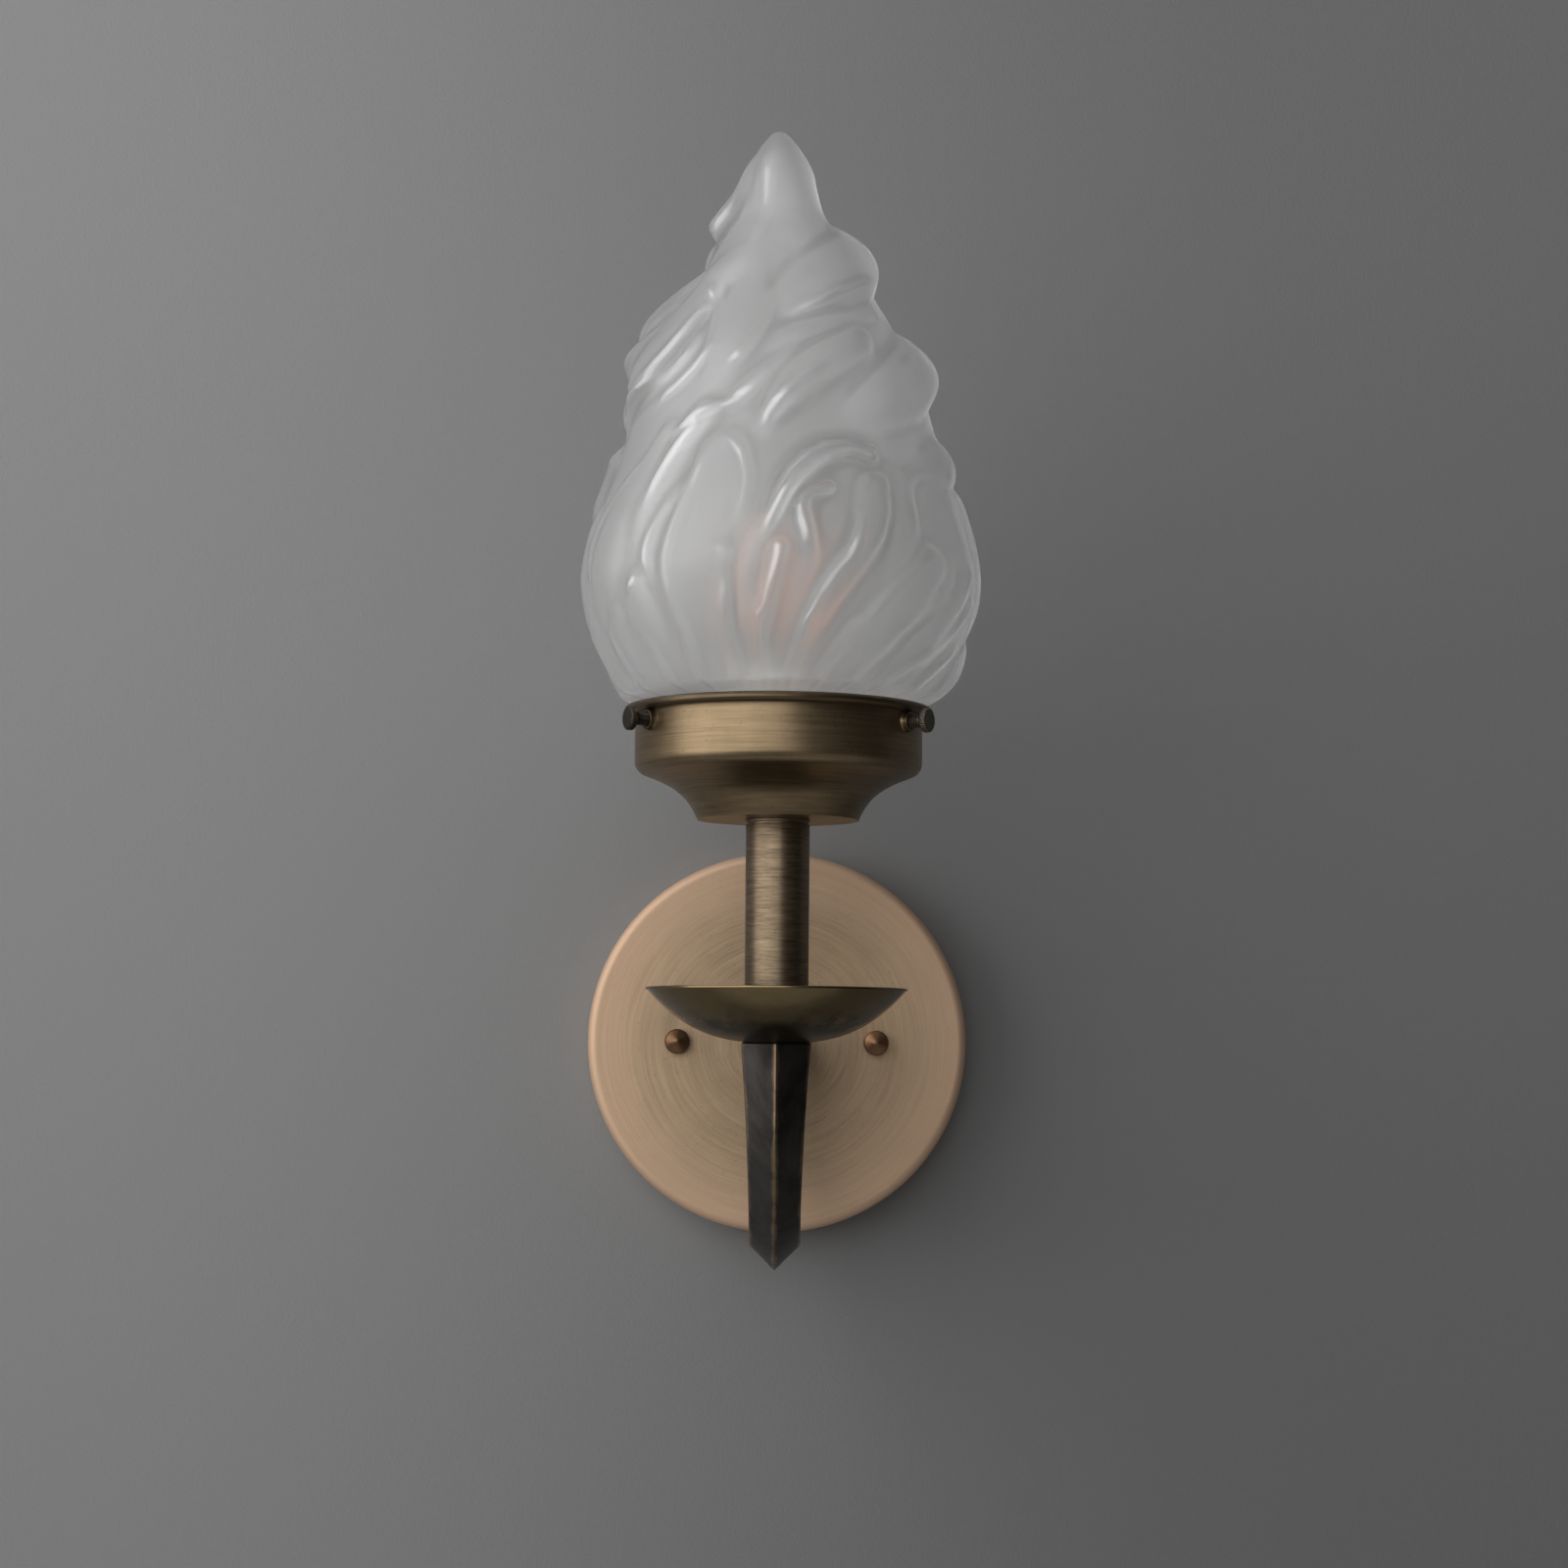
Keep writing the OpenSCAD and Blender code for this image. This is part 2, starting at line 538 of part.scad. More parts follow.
module candle_tube() {
    color("darkkhaki") on_axis() translate([0, 0, dish_floor_z])
        ring(tube_d / 2, tube_d / 2 - tube_wall, tube_l);
}

module lamp_pipe() {
    color("darkkhaki") on_axis() translate([0, 0, arm_top_z - pipe_grip])
        ring(pipe_d / 2, pipe_bore / 2, pipe_top_z - arm_top_z + pipe_grip);
}

module neck_ring() {
    inner = tube_d / 2 - tube_wall - slip_gap;
    spigot = 3;
    color("darkkhaki") on_axis() difference() {
        union() {
            translate([0, 0, ring_z]) cylinder(d = tube_d, h = ring_h);
            translate([0, 0, tube_top_z - spigot]) cylinder(r = inner, h = spigot + groove_h + eps);
            translate([0, 0, tube_top_z]) cylinder(r = inner + 0.3, h = groove_h + eps);
        }
        translate([0, 0, tube_top_z - spigot - eps])
            cylinder(r = pipe_d / 2 + slip_gap, h = spigot + groove_h + ring_h + 2 * eps);
    }
}

// ---------- shade cup ----------
shoulder_z = cup_z + shoulder_h;
shoulder_end = 70;
shoulder_p = [cup_r - shoulder_r, shoulder_z] + shoulder_r * [cos(shoulder_end), -sin(shoulder_end)];
// The cup's outside from its foot up to the lip, without the lip
cup_cove = bezier([cup_foot_r, cup_z], [cup_foot_r + 2.9, cup_z + 7.6],
    shoulder_p - 9.9 * [sin(shoulder_end), cos(shoulder_end)], shoulder_p, 14);
cup_shoulder = arc([cup_r - shoulder_r, shoulder_z], shoulder_r, -shoulder_end, 0, 7);
cup_outside = concat(cup_cove, [for (i = [1 : 7]) cup_shoulder[i]]);
cup_inside = [for (p = beside(cup_outside, cup_wall)) if (p[1] > cup_floor_z + 0.4) p];

module shade_holder() {
    lip_r = cup_r + lip_out;
    lip_round = lip_h / 2;
    color("darkkhaki") difference() {
        on_axis() rotate_extrude($fn = 96) polygon(concat(
            [[pipe_d / 2 + slip_gap, cup_z]],
            cup_outside,
            [[cup_r, lip_z - lip_h]],
            arc([lip_r - lip_round, lip_z - lip_round], lip_round, -90, 90, 10),
            [[cup_in_r, lip_z]],
            backwards(cup_inside),
            [[cup_inside[0][0] - 0.6, cup_floor_z], [pipe_d / 2 + slip_gap, cup_floor_z]]));
        for (az = [-screw_az, screw_az, 180]) at_screw(az)
            translate([0, 0, cup_in_r - 3]) cylinder(r = boss_spigot_r + slip_gap, h = 8);
    }
}

boss_spigot_r = boss_d / 2 - 0.5;

module screw_bosses() {
    color("darkgoldenrod") for (az = [-screw_az, screw_az, 180]) difference() {
        union() {
            difference() {
                at_screw(az) translate([0, 0, cup_r - 1]) cylinder(d = boss_d, h = boss_h + 1);
                on_axis() translate([0, 0, screw_z - boss_d])
                    cylinder(r = cup_r + seat_gap, h = 2 * boss_d, $fn = 96);
            }
            at_screw(az) translate([0, 0, cup_in_r - 0.8]) cylinder(r = boss_spigot_r, h = cup_wall + 1.2);
        }
        at_screw(az) translate([0, 0, cup_in_r - 2]) cylinder(r = screw_d / 2 + turn_gap, h = 8);
    }
}

tip_start = fitter_r + touch_gap;
shank_start = tip_start + tip_l;
head_start = cup_r + boss_h + shank_bare;

module screw_tip(az) {
    color("ivory") at_screw(az) translate([0, 0, tip_start]) cylinder(d = screw_d - 0.3, h = tip_l);
}

// The head has a fine knurl of small flats round its edge
module thumb_screw(az) {
    knurls = 30;
    color("gray") at_screw(az) {
        translate([0, 0, shank_start]) cylinder(d = screw_d, h = head_start - shank_start + eps);
        translate([0, 0, head_start]) difference() {
            union() {
                cylinder(d1 = head_d - 0.7, d2 = head_d, h = 0.35);
                translate([0, 0, 0.35]) cylinder(d = head_d, h = head_t - 0.7);
                translate([0, 0, head_t - 0.35]) cylinder(d1 = head_d, d2 = head_d - 0.7, h = 0.35);
            }
            for (i = [0 : knurls - 1]) rotate([0, 0, 360 * i / knurls]) translate([head_d / 2, 0, -eps])
                rotate([0, 0, 45]) translate([-0.2, -0.2, 0]) cube([0.4, 0.4, head_t + 2 * eps]);
        }
    }
}

module screw_tip_left() { screw_tip(-screw_az); }
module screw_tip_right() { screw_tip(screw_az); }
module screw_tip_back() { screw_tip(180); }
module thumb_screw_left() { thumb_screw(-screw_az); }
module thumb_screw_right() { thumb_screw(screw_az); }
module thumb_screw_back() { thumb_screw(180); }

// ---------- lamp holder ----------
module pipe_washer() {
    color("silver") on_axis() translate([0, 0, cup_floor_z])
        ring(pipe_washer_d / 2, pipe_d / 2 + thread_gap, washer_t);
}

module pipe_nut() {
    color("silver") on_axis() translate([0, 0, pipe_nut_z])
        hex_nut(pipe_nut_af, pipe_d / 2 + thread_gap, pipe_nut_t);
}

cap_skirt = 4;

module socket_cap() {
    r_in = socket_d / 2 + slip_gap;
    color("darkkhaki") on_axis() translate([0, 0, cap_hub_z]) difference() {
        union() {
            cylinder(r = pipe_d / 2 + 3, h = cap_hub_h);
            translate([0, 0, cap_hub_h - cap_t])
                cylinder(r = r_in + cap_t, h = cap_t + socket_room + cap_skirt);
        }
        translate([0, 0, cap_hub_h]) cylinder(r = r_in, h = socket_room + cap_skirt + eps);
        translate([0, 0, -eps]) cylinder(r = pipe_d / 2 + thread_gap, h = cap_hub_h + 2 * eps);
    }
}

shell_wall = 0.5;
shell_r = bulb_cap_d / 2 + 0.35;
bulb_sit = 24;

module socket_body() {
    r = socket_d / 2;
    color("white") on_axis() translate([0, 0, socket_z]) difference() {
        union() {
            cylinder(r = r, h = socket_h - 1);
            translate([0, 0, socket_h - 1]) cylinder(r1 = r, r2 = r - 1, h = 1);
        }
        translate([0, 0, socket_floor]) cylinder(r = shell_r + shell_wall + slip_gap, h = socket_h);
        translate([0, 0, -eps]) cylinder(r = 1.6, h = socket_floor + 2 * eps);
        for (side = [-1, 1]) translate([side * terminal_x, 0, -eps])
            cylinder(r = 1.6, h = socket_floor + 2 * eps);
    }
}

module socket_screw_shell() {
    color("gold") on_axis() translate([0, 0, socket_z + socket_floor])
        ring(shell_r + shell_wall, shell_r, socket_h - socket_floor - 1.5);
}

module socket_contact() {
    color("gold") on_axis() translate([0, 0, socket_z]) {
        cylinder(r = 1.5, h = socket_floor + eps);
        translate([0, 0, socket_floor]) cylinder(r = 4.5, h = 0.6);
        translate([0, 0, socket_floor + 0.6 - eps]) cylinder(r1 = 3, r2 = 2, h = contact_t - 0.6 - 0.05);
    }
}

terminal_x = 9.5;
terminal_d = 5;
terminal_h = 2;

module socket_terminals() {
    color("gold") on_axis() for (side = [-1, 1]) translate([side * terminal_x, 0, socket_z]) {
        translate([0, 0, -terminal_h]) cylinder(d = terminal_d, h = terminal_h);
        cylinder(r = 1.5, h = socket_floor - 0.5);
    }
}

// ---------- wires ----------
wire_r = wire_d / 2;
wire_side = 1.15;
connector_x = 10;
connector_z = -21;
connector_y = -9;

// Route of a lead from a socket terminal down the pipe, along the arm and into the plate; side is -1 or 1
function lead_route(side) = let (
    x = side * wire_side,
    terminal = side * (terminal_x - terminal_d / 2 - 0.1),
    entry_z = cap_hub_z + cap_hub_h,
    step = floor(len(arm_path) / 28)) concat(
    [[terminal, -reach, entry_z + 2.9], [side * 5.2, -reach, entry_z + 2.9],
        [side * 3.4, -reach, entry_z + 2.5], [side * 2.2, -reach, entry_z + 1.6],
        [side * 1.5, -reach, entry_z + 0.4], [x, -reach, entry_z - 1.5]],
    [for (i = [1 : 5]) [x, -reach, mix(entry_z - 1.5, 8, i / 5)]],
    [for (i = [len(arm_path) - 1 : -1 : 0]) [x, arm_path[i][0], arm_path[i][1]]],
    [[x, -plate_depth + plate_wall + nipple_in + 0.5, 0], [side * 1.4, -11, -0.6], [side * 2.4, -9.3, -2.6],
        [side * 4, -connector_y_out(), -6], [side * 6.5, -connector_y_out(), -11],
        [side * 9, -connector_y_out(), -16], [side * connector_x, connector_y, connector_z + 1],
        [side * connector_x, connector_y, connector_z - 5]]);
function connector_y_out() = -connector_y;

module lead_black() {
    color("black") tube_along(lead_route(-1), wire_r, 8);
}

module lead_white() {
    color("white") tube_along(lead_route(1), wire_r, 8);
}

ground_connector_x = 28;

module lead_ground() {
    y = -bar_t - ground_head_t - wire_r - 0.05;
    color("green") tube_along([[ground_x, y, 2], [ground_x, y, -3], [ground_x + 0.5, y, -8],
        [ground_x + 3, y, -13], [ground_x + 6.5, y - 0.8, -17],
        [ground_connector_x, connector_y, connector_z + 1],
        [ground_connector_x, connector_y, connector_z - 5]], wire_r, 8);
}

module wire_connectors() {
    r = connector_d / 2;
    color("orange") for (x = [-connector_x, connector_x, ground_connector_x])
        translate([x, connector_y, connector_z]) rotate([180, 0, 0]) difference() {
            union() {
                cylinder(r = r, h = 5);
                translate([0, 0, 5]) cylinder(r1 = r, r2 = r - 2, h = connector_l - 5);
            }
            translate([0, 0, -eps]) cylinder(r = wire_r + 0.05, h = 8);
        }
}

// ---------- bulb ----------
bulb_r = bulb_d / 2;
cap_r = bulb_cap_d / 2;
globe_z = bulb_h - bulb_r;
glass_t = 0.8;
bulb_join = 26;
join_end = 20;
join_p = [bulb_r * cos(join_end), globe_z - bulb_r * sin(join_end)];
bulb_outside = concat(
    bezier([cap_r + 0.3, bulb_join], [cap_r + 0.7, bulb_join + 13],
        join_p - 12 * [sin(join_end), cos(join_end)], join_p, 10),
    [for (i = [1 : 14]) let (a = mix(-join_end, 90, i / 14))
        [0, globe_z] + bulb_r * [max(0, cos(a)), sin(a)]]);

module on_bulb() {
    on_axis() translate([0, 0, bulb_z]) children();
}

module bulb_contact() {
    color("silver") on_bulb() {
        cylinder(r1 = 3.4, r2 = 4.4, h = 0.8);
        translate([0, 0, 0.8 - eps]) cylinder(r = 4.4, h = 0.7);
    }
}

module bulb_insulator() {
    color("black") on_bulb() translate([0, 0, 1.5]) cylinder(r1 = 5.5, r2 = cap_r - 1.2, h = 3.5);
}

// The screw cap with its rolled thread as rings
module bulb_base() {
    turns = 5;
    depth = 0.75;
    start = 5;
    wall = 0.6;
    thread = [for (i = [0 : turns - 1]) for (p = [[0, -depth], [0.3, 0], [0.6, 0], [0.9, -depth]])
        [cap_r + p[1], start + 0.4 + bulb_pitch * (i + p[0] * 0.9)]];
    color("silver") on_bulb() rotate_extrude($fn = 64) polygon(concat(
        [[cap_r - 1.6, start], [cap_r - depth, start]],
        thread,
        [[cap_r - depth, bulb_join - 2], [cap_r + 0.3, bulb_join - 1.4], [cap_r + 0.3, bulb_join],
            [cap_r - depth - wall, bulb_join], [cap_r - depth - wall, start + wall],
            [cap_r - 1.6, start + wall]]));
}

module bulb_envelope() {
    inside = backwards(beside(bulb_outside, glass_t));
    color([0.9, 0.95, 1, 0.35]) on_bulb() rotate_extrude($fn = 64) polygon(concat(
        bulb_outside, [[0, bulb_h - glass_t]], [for (p = inside) if (p[0] > 0.8) p]));
}

stem_top = 44;
rod_top = globe_z - 1;

module bulb_stem() {
    foot_r = cap_r - 1.7;
    color([0.9, 0.95, 1, 0.5]) on_bulb() {
        translate([0, 0, bulb_join + 0.2]) cylinder(r = foot_r, h = 1.5);
        translate([0, 0, bulb_join + 1.7 - eps])
            cylinder(r1 = foot_r - 3, r2 = 2.4, h = stem_top - bulb_join - 1.7);
        translate([0, 0, stem_top - 2 * eps]) cylinder(r = 1.5, h = rod_top - stem_top);
    }
}

filament_r = 0.9;
filament_mid = 55;
filament_lean = 6;
filament_out = 8.5;
spoke_r = 0.35;

module each_filament() {
    for (i = [0 : filament_n - 1]) rotate([0, 0, 360 * (i + 0.5) / filament_n]) children();
}

module bulb_filaments() {
    color("gold") on_bulb() each_filament() translate([filament_out, 0, filament_mid])
        rotate([0, filament_lean, 0]) translate([0, 0, -filament_l / 2])
            cylinder(r = filament_r, h = filament_l, $fn = 24);
}

module spoke(a, b) {
    d = b - a;
    translate(a) rotate([0, acos(d[2] / norm(d)), atan2(d[1], d[0])])
        cylinder(r = spoke_r, h = norm(d), $fn = 16);
}

module filament_wires() {
    half = filament_l / 2 + 0.3;
    top = [filament_out + half * sin(filament_lean), 0, filament_mid + half * cos(filament_lean)];
    low = [filament_out - half * sin(filament_lean), 0, filament_mid - half * cos(filament_lean)];
    color("silver") on_bulb() each_filament() {
        spoke([1.4, 0, rod_top - 1.5], top);
        spoke([2.3, 0, stem_top - 1.5], low);
    }
}

// ---------- glass flame ----------
function body_slope(i) = let (
    a = FLAME_BODY[max(0, i - 1)],
    b = FLAME_BODY[min(len(FLAME_BODY) - 1, i + 1)])
    (b[1] - a[1]) / (b[0] - a[0]);
function body_span(h) = len([for (p = FLAME_BODY) if (p[0] <= h) 1]) - 1;
// Plain radius of the flame's form at a height of the form
function form_r(h) = let (
    q = min(FORM_H, max(FLAME_BODY[0][0], h)),
    i = min(len(FLAME_BODY) - 2, body_span(q)),
    a = FLAME_BODY[i],
    b = FLAME_BODY[i + 1],
    d = b[0] - a[0],
    t = (q - a[0]) / d)
    (2 * t * t * t - 3 * t * t + 1) * a[1] + (t * t * t - 2 * t * t + t) * d * body_slope(i)
    + (3 * t * t - 2 * t * t * t) * b[1] + (t * t * t - t * t) * d * body_slope(i + 1);

// Point of a tongue's middle line: the cubic through its four points
path_steps = 8;
function along_path(p, t) = let (a = t - 1 / 3, b = t - 2 / 3, c = t - 1)
    -4.5 * a * b * c * p[0] + 13.5 * t * b * c * p[1] - 13.5 * t * a * c * p[2] + 4.5 * t * a * b * p[3];
// Tongue ready for use: mid azimuth, its line in mm round and up, the span it reaches, then its other values
function tongue(p, turn, share, size) = let (
    given = [for (j = [0 : 3]) [turn + share * p[j][0], p[j][1]]],
    path = [for (i = [0 : path_steps]) along_path(given, i / path_steps)],
    mid = [for (q = path) 1] * [for (q = path) q[0]] / len(path),
    spots = [for (q = path) [(q[0] - mid) * PI / 180 * form_r(q[1]), q[1]]],
    x = [for (q = spots) q[0]],
    y = [for (q = spots) q[1]],
    skirt = 1.6 * size * p[4])
    [mid, spots, min(y) - skirt, max(y) + skirt, min(x) - skirt, max(x) + skirt,
        size * p[4], size * p[5], p[6], p[7], p[8], p[9], p[10]];
back_size = 0.9;
function all_tongues() = concat(
    [for (p = TONGUES) tongue(p, 0, 1, 1)],
    [for (p = TONGUES) if (p[11] > 0) tongue(p, 180, p[11], back_size)]);
function tongue_lift(k, az, h, r) = let (x = wrap_deg(az - k[0]) * PI / 180 * r)
    x < k[4] || x > k[5] ? 0 : let (
        near = [for (i = [0 : path_steps - 1]) let (
            a = k[1][i],
            d = k[1][i + 1] - a,
            q = [x, h] - a,
            t = min(1, max(0, (q * d) / (d * d))))
            [norm(q - t * d), (i + t) / path_steps, (q[0] * d[1] - q[1] * d[0]) / norm(d)]],
        gaps = [for (n = near) n[0]],
        n = near[search(min(gaps), gaps)[0]],
        t = n[1],
        half = k[6] * mix(k[11], 1, ease(0, 0.6, t)) * (1 - k[10] * ease(0.5, 1, t)),
        u = n[0] / half,
        side = max(-1, min(1, n[2] / max(n[0], eps))),
        crisp = 0.5 + 0.5 * k[8] * (1 - ease(0.8, 1, t)) * side,
        skirt = 1.6 - 0.55 * crisp)
    u >= skirt ? 0 : k[7] * ease(-0.02, 0.45, t) * (1 - k[12] * ease(0.45, 1, t))
        * pow(1 - pow(u / skirt, 2), 2.4 - 1.6 * crisp) * (1 - k[9] * pow(max(0, 1 - u * u), 2));
function soft_max(a, b, k) = let (d = min(1, max(0, 0.5 + 0.5 * (b - a) / k)))
    mix(a, b, d) + k * d * (1 - d);
// Height of the relief over the plain form, round one ring
function ring_relief(tongues, az, h) = let (
    r = form_r(h),
    turn = lookup(h, FLAME_SWIRL),
    here = [for (k = tongues) if (h > k[2] && h < k[3]) k],
    n = len(here))
    [for (a = az) let (
        s = a - turn,
        flutes = 1 + 0.5 * sin(9 * s) + 0.35 * sin(14 * s + 40),
        steps = [for (i = 0, v = flutes; i <= n;
            v = i < n ? soft_max(v, tongue_lift(here[i], a, h, r), 1.6) : v, i = i + 1) v])
        steps[n]];
// One pass of smoothing over the neighbours of each point of a ring grid
function smoothed(g) = let (n = len(g) - 1, m = len(g[0])) [for (i = [0 : n]) [for (j = [0 : m - 1])
    g[i][j] / 2 + (g[i][(j + 1) % m] + g[i][(j + m - 1) % m]
        + g[min(n, i + 1)][j] + g[max(0, i - 1)][j]) / 8]];

function lean(h) = -tip_lean * ease(130, FORM_H, h);

module flame_shade() {
    seat = lookup(fitter_r, [for (p = cup_inside) p]) + rest_gap;
    neck_top = seat + neck_l;
    kz = flame_h / FORM_H;
    kr = flame_d / FORM_D;
    tongues = all_tongues();
    m = flame_sides;
    az = [for (j = [0 : m - 1]) 360 * (j + 0.5) / m];
    fitter_ring = [for (a = az) fitter_r];
    // Heights of the rings in the form, a little closer together near the neck and the tip
    outer_h = [for (i = [0 : flame_rings]) let (t = i / (flame_rings + 0.6))
        FORM_H * (t + 0.03 * sin(180 * t) * sin(180 * t))];
    raw = smoothed([for (h = outer_h) ring_relief(tongues, az, h)]);
    outer_r = [for (i = [0 : flame_rings]) let (
        h = outer_h[i],
        fade = ease(-1, 7, h) * (1 - ease(FORM_H - 16, FORM_H, h)),
        plain = form_r(h),
        blend = ease(0, 4.2, h))
        [for (v = raw[i]) mix(fitter_r, kr * (plain + relief * (v - 0.6) * fade), blend)]];
    inner_h = [for (i = [0 : flame_inner_rings])
        (FORM_H - tip_solid * glass_wall) * i / (flame_inner_rings + 0.5)];
    inner_r = [for (h = inner_h) let (
        fade = ease(6, 20, h) * (1 - ease(FORM_H - 36, FORM_H - 12, h)),
        plain = min(form_r(h), form_r(min(FORM_H, h + glass_wall))),
        blend = ease(0, 4.2, h))
        [for (v = ring_relief(tongues, az, h)) max(1, mix(fitter_r, kr * (plain + relief * inner_share
            * (v - 0.6) * fade), blend) - glass_wall)]];
    rings = concat(
        [[fitter_ring, seat, 0]],
        [for (i = [0 : flame_rings]) [outer_r[i], neck_top + kz * outer_h[i], lean(outer_h[i])]]);
    holes = concat(
        [[[for (r = fitter_ring) r - glass_wall], seat, 0]],
        [for (i = [0 : flame_inner_rings]) [inner_r[i], neck_top + kz * inner_h[i], lean(inner_h[i])]]);
    points = concat(
        [for (ring = concat(rings, holes)) for (j = [0 : m - 1])
            [ring[0][j] * sin(az[j]) + ring[2], -ring[0][j] * cos(az[j]), ring[1]]],
        [[lean(FORM_H), 0, neck_top + flame_h],
            [lean(FORM_H - tip_solid * glass_wall), 0, neck_top + flame_h - kz * tip_solid * glass_wall]]);
    base = len(rings) * m;
    apex = base + len(holes) * m;
    last = (len(rings) - 1) * m;
    inner_last = base + (len(holes) - 1) * m;
    faces = concat(
        [for (i = [0 : len(rings) - 2]) for (j = [0 : m - 1]) let (k = (j + 1) % m)
            each [[i * m + j, (i + 1) * m + j, i * m + k], [i * m + k, (i + 1) * m + j, (i + 1) * m + k]]],
        [for (i = [0 : len(holes) - 2]) for (j = [0 : m - 1]) let (k = (j + 1) % m)
            each [[base + i * m + j, base + i * m + k, base + (i + 1) * m + j],
                [base + i * m + k, base + (i + 1) * m + k, base + (i + 1) * m + j]]],
        [for (j = [0 : m - 1]) let (k = (j + 1) % m) each [[j, k, base + j], [k, base + k, base + j]]],
        [for (j = [0 : m - 1]) [last + j, apex, last + (j + 1) % m]],
        [for (j = [0 : m - 1]) [inner_last + j, inner_last + (j + 1) % m, apex + 1]]);
    color([0.92, 0.94, 0.95, 0.8]) on_axis() polyhedron(points, faces);
}

wall_bracket();
ground_screw();
canopy();
canopy_studs();
stud_lock_nuts();
cap_nuts();
arm_nipple();
nipple_washer();
nipple_nut();
arm_collar();
arm();
bobeche();
candle_tube();
lamp_pipe();
neck_ring();
shade_holder();
screw_bosses();
pipe_washer();
pipe_nut();
socket_cap();
socket_body();
socket_screw_shell();
socket_contact();
socket_terminals();
lead_black();
lead_white();
lead_ground();
wire_connectors();
bulb_base();
bulb_insulator();
bulb_contact();
bulb_envelope();
bulb_stem();
bulb_filaments();
filament_wires();
flame_shade();
screw_tip_left();
screw_tip_right();
screw_tip_back();
thumb_screw_left();
thumb_screw_right();
thumb_screw_back();
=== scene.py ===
import math

import bmesh
import bpy
import numpy as np
from bpy.props import FloatProperty, FloatVectorProperty, IntProperty, PointerProperty
from mathutils import Matrix, Vector


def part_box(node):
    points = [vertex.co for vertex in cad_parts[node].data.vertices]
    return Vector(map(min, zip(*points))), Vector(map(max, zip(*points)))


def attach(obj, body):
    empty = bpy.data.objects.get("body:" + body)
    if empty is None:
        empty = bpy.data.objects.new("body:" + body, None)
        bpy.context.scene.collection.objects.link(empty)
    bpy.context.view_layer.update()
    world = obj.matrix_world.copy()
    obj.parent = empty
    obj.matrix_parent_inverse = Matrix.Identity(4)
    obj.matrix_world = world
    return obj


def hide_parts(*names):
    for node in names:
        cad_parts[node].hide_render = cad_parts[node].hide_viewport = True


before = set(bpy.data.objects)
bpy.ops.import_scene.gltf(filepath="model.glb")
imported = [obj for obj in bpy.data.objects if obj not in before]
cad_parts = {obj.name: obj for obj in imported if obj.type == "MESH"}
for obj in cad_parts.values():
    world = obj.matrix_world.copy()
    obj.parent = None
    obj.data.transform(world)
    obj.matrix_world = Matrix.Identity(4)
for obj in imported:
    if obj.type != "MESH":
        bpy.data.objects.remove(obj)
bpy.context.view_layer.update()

bl_info = {
    "name": "Torch Sconce",
    "version": (1, 0, 0),
    "blender": (4, 5, 0),
    "location": "3D View > Sidebar > Sconce",
    "description": "Dresses the CAD model of a torch sconce and sets its stage",
    "category": "Add Mesh",
}

MM = 0.001
TAU = 2 * math.pi


def span(node, axis):
    """Length of a CAD node along an axis, in metres."""
    low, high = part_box(node)
    return high[axis] - low[axis]


def length(name, description, default):
    """A length that a user may change, in metres."""
    return FloatProperty(name=name, description=description, default=default, min=0.0, max=1.0,
                         unit="LENGTH", subtype="DISTANCE", precision=5)


def power(name, description, default):
    """A light's power that a user may change, in watts."""
    return FloatProperty(name=name, description=description, default=default, min=0.0, max=500.0,
                         unit="POWER")


def tint(name, description, default):
    """A colour that a user may change."""
    return FloatVectorProperty(name=name, description=description, default=default, min=0.0,
                               max=1.0, subtype="COLOR", size=3)


class SconceSizes(bpy.types.PropertyGroup):
    """Lengths of the pieces that dress the CAD model."""

    plate_diameter: length("Plate diameter", "Across the round wall plate", span("canopy", 0))
    plate_depth: length("Plate depth", "From the wall to the plate's face", span("canopy", 1))
    plate_edge: length("Plate edge", "Radius of the plate's rolled edge", 0.0032)
    arm_corner: length("Arm corner", "Width of the flat along the arm's edges", 0.0009)
    dish_diameter: length("Dish diameter", "Across the dish under the tube", span("bobeche", 0))
    dish_height: length("Dish height", "From the dish's foot to its rim", 0.0168)
    tube_diameter: length("Tube diameter", "Across the candle tube", span("candle_tube", 0))
    cup_diameter: length("Cup diameter", "Across the cup's straight wall", 0.0909)
    cup_height: length("Cup height", "From the cup's foot to its lip", span("shade_holder", 2))
    lip_thickness: length("Lip thickness", "Height of the cup's rolled lip", 0.003)
    flame_height: length("Flame height", "From the glass neck's top to the tip", 0.1868)
    flame_diameter: length("Flame diameter", "Across the widest plain part of the flame", 0.1216)
    glass_wall: length("Glass wall", "Thickness of the flame's glass", 0.0032)
    glass_blur: length("Glass softness", "How far the pressed relief is softened", 0.00045)
    screw_head: length("Screw head", "Across a thumb screw's knurled head", 0.0075)
    bulb_diameter: length("Bulb diameter", "Across the bulb's globe", span("bulb_envelope", 0))


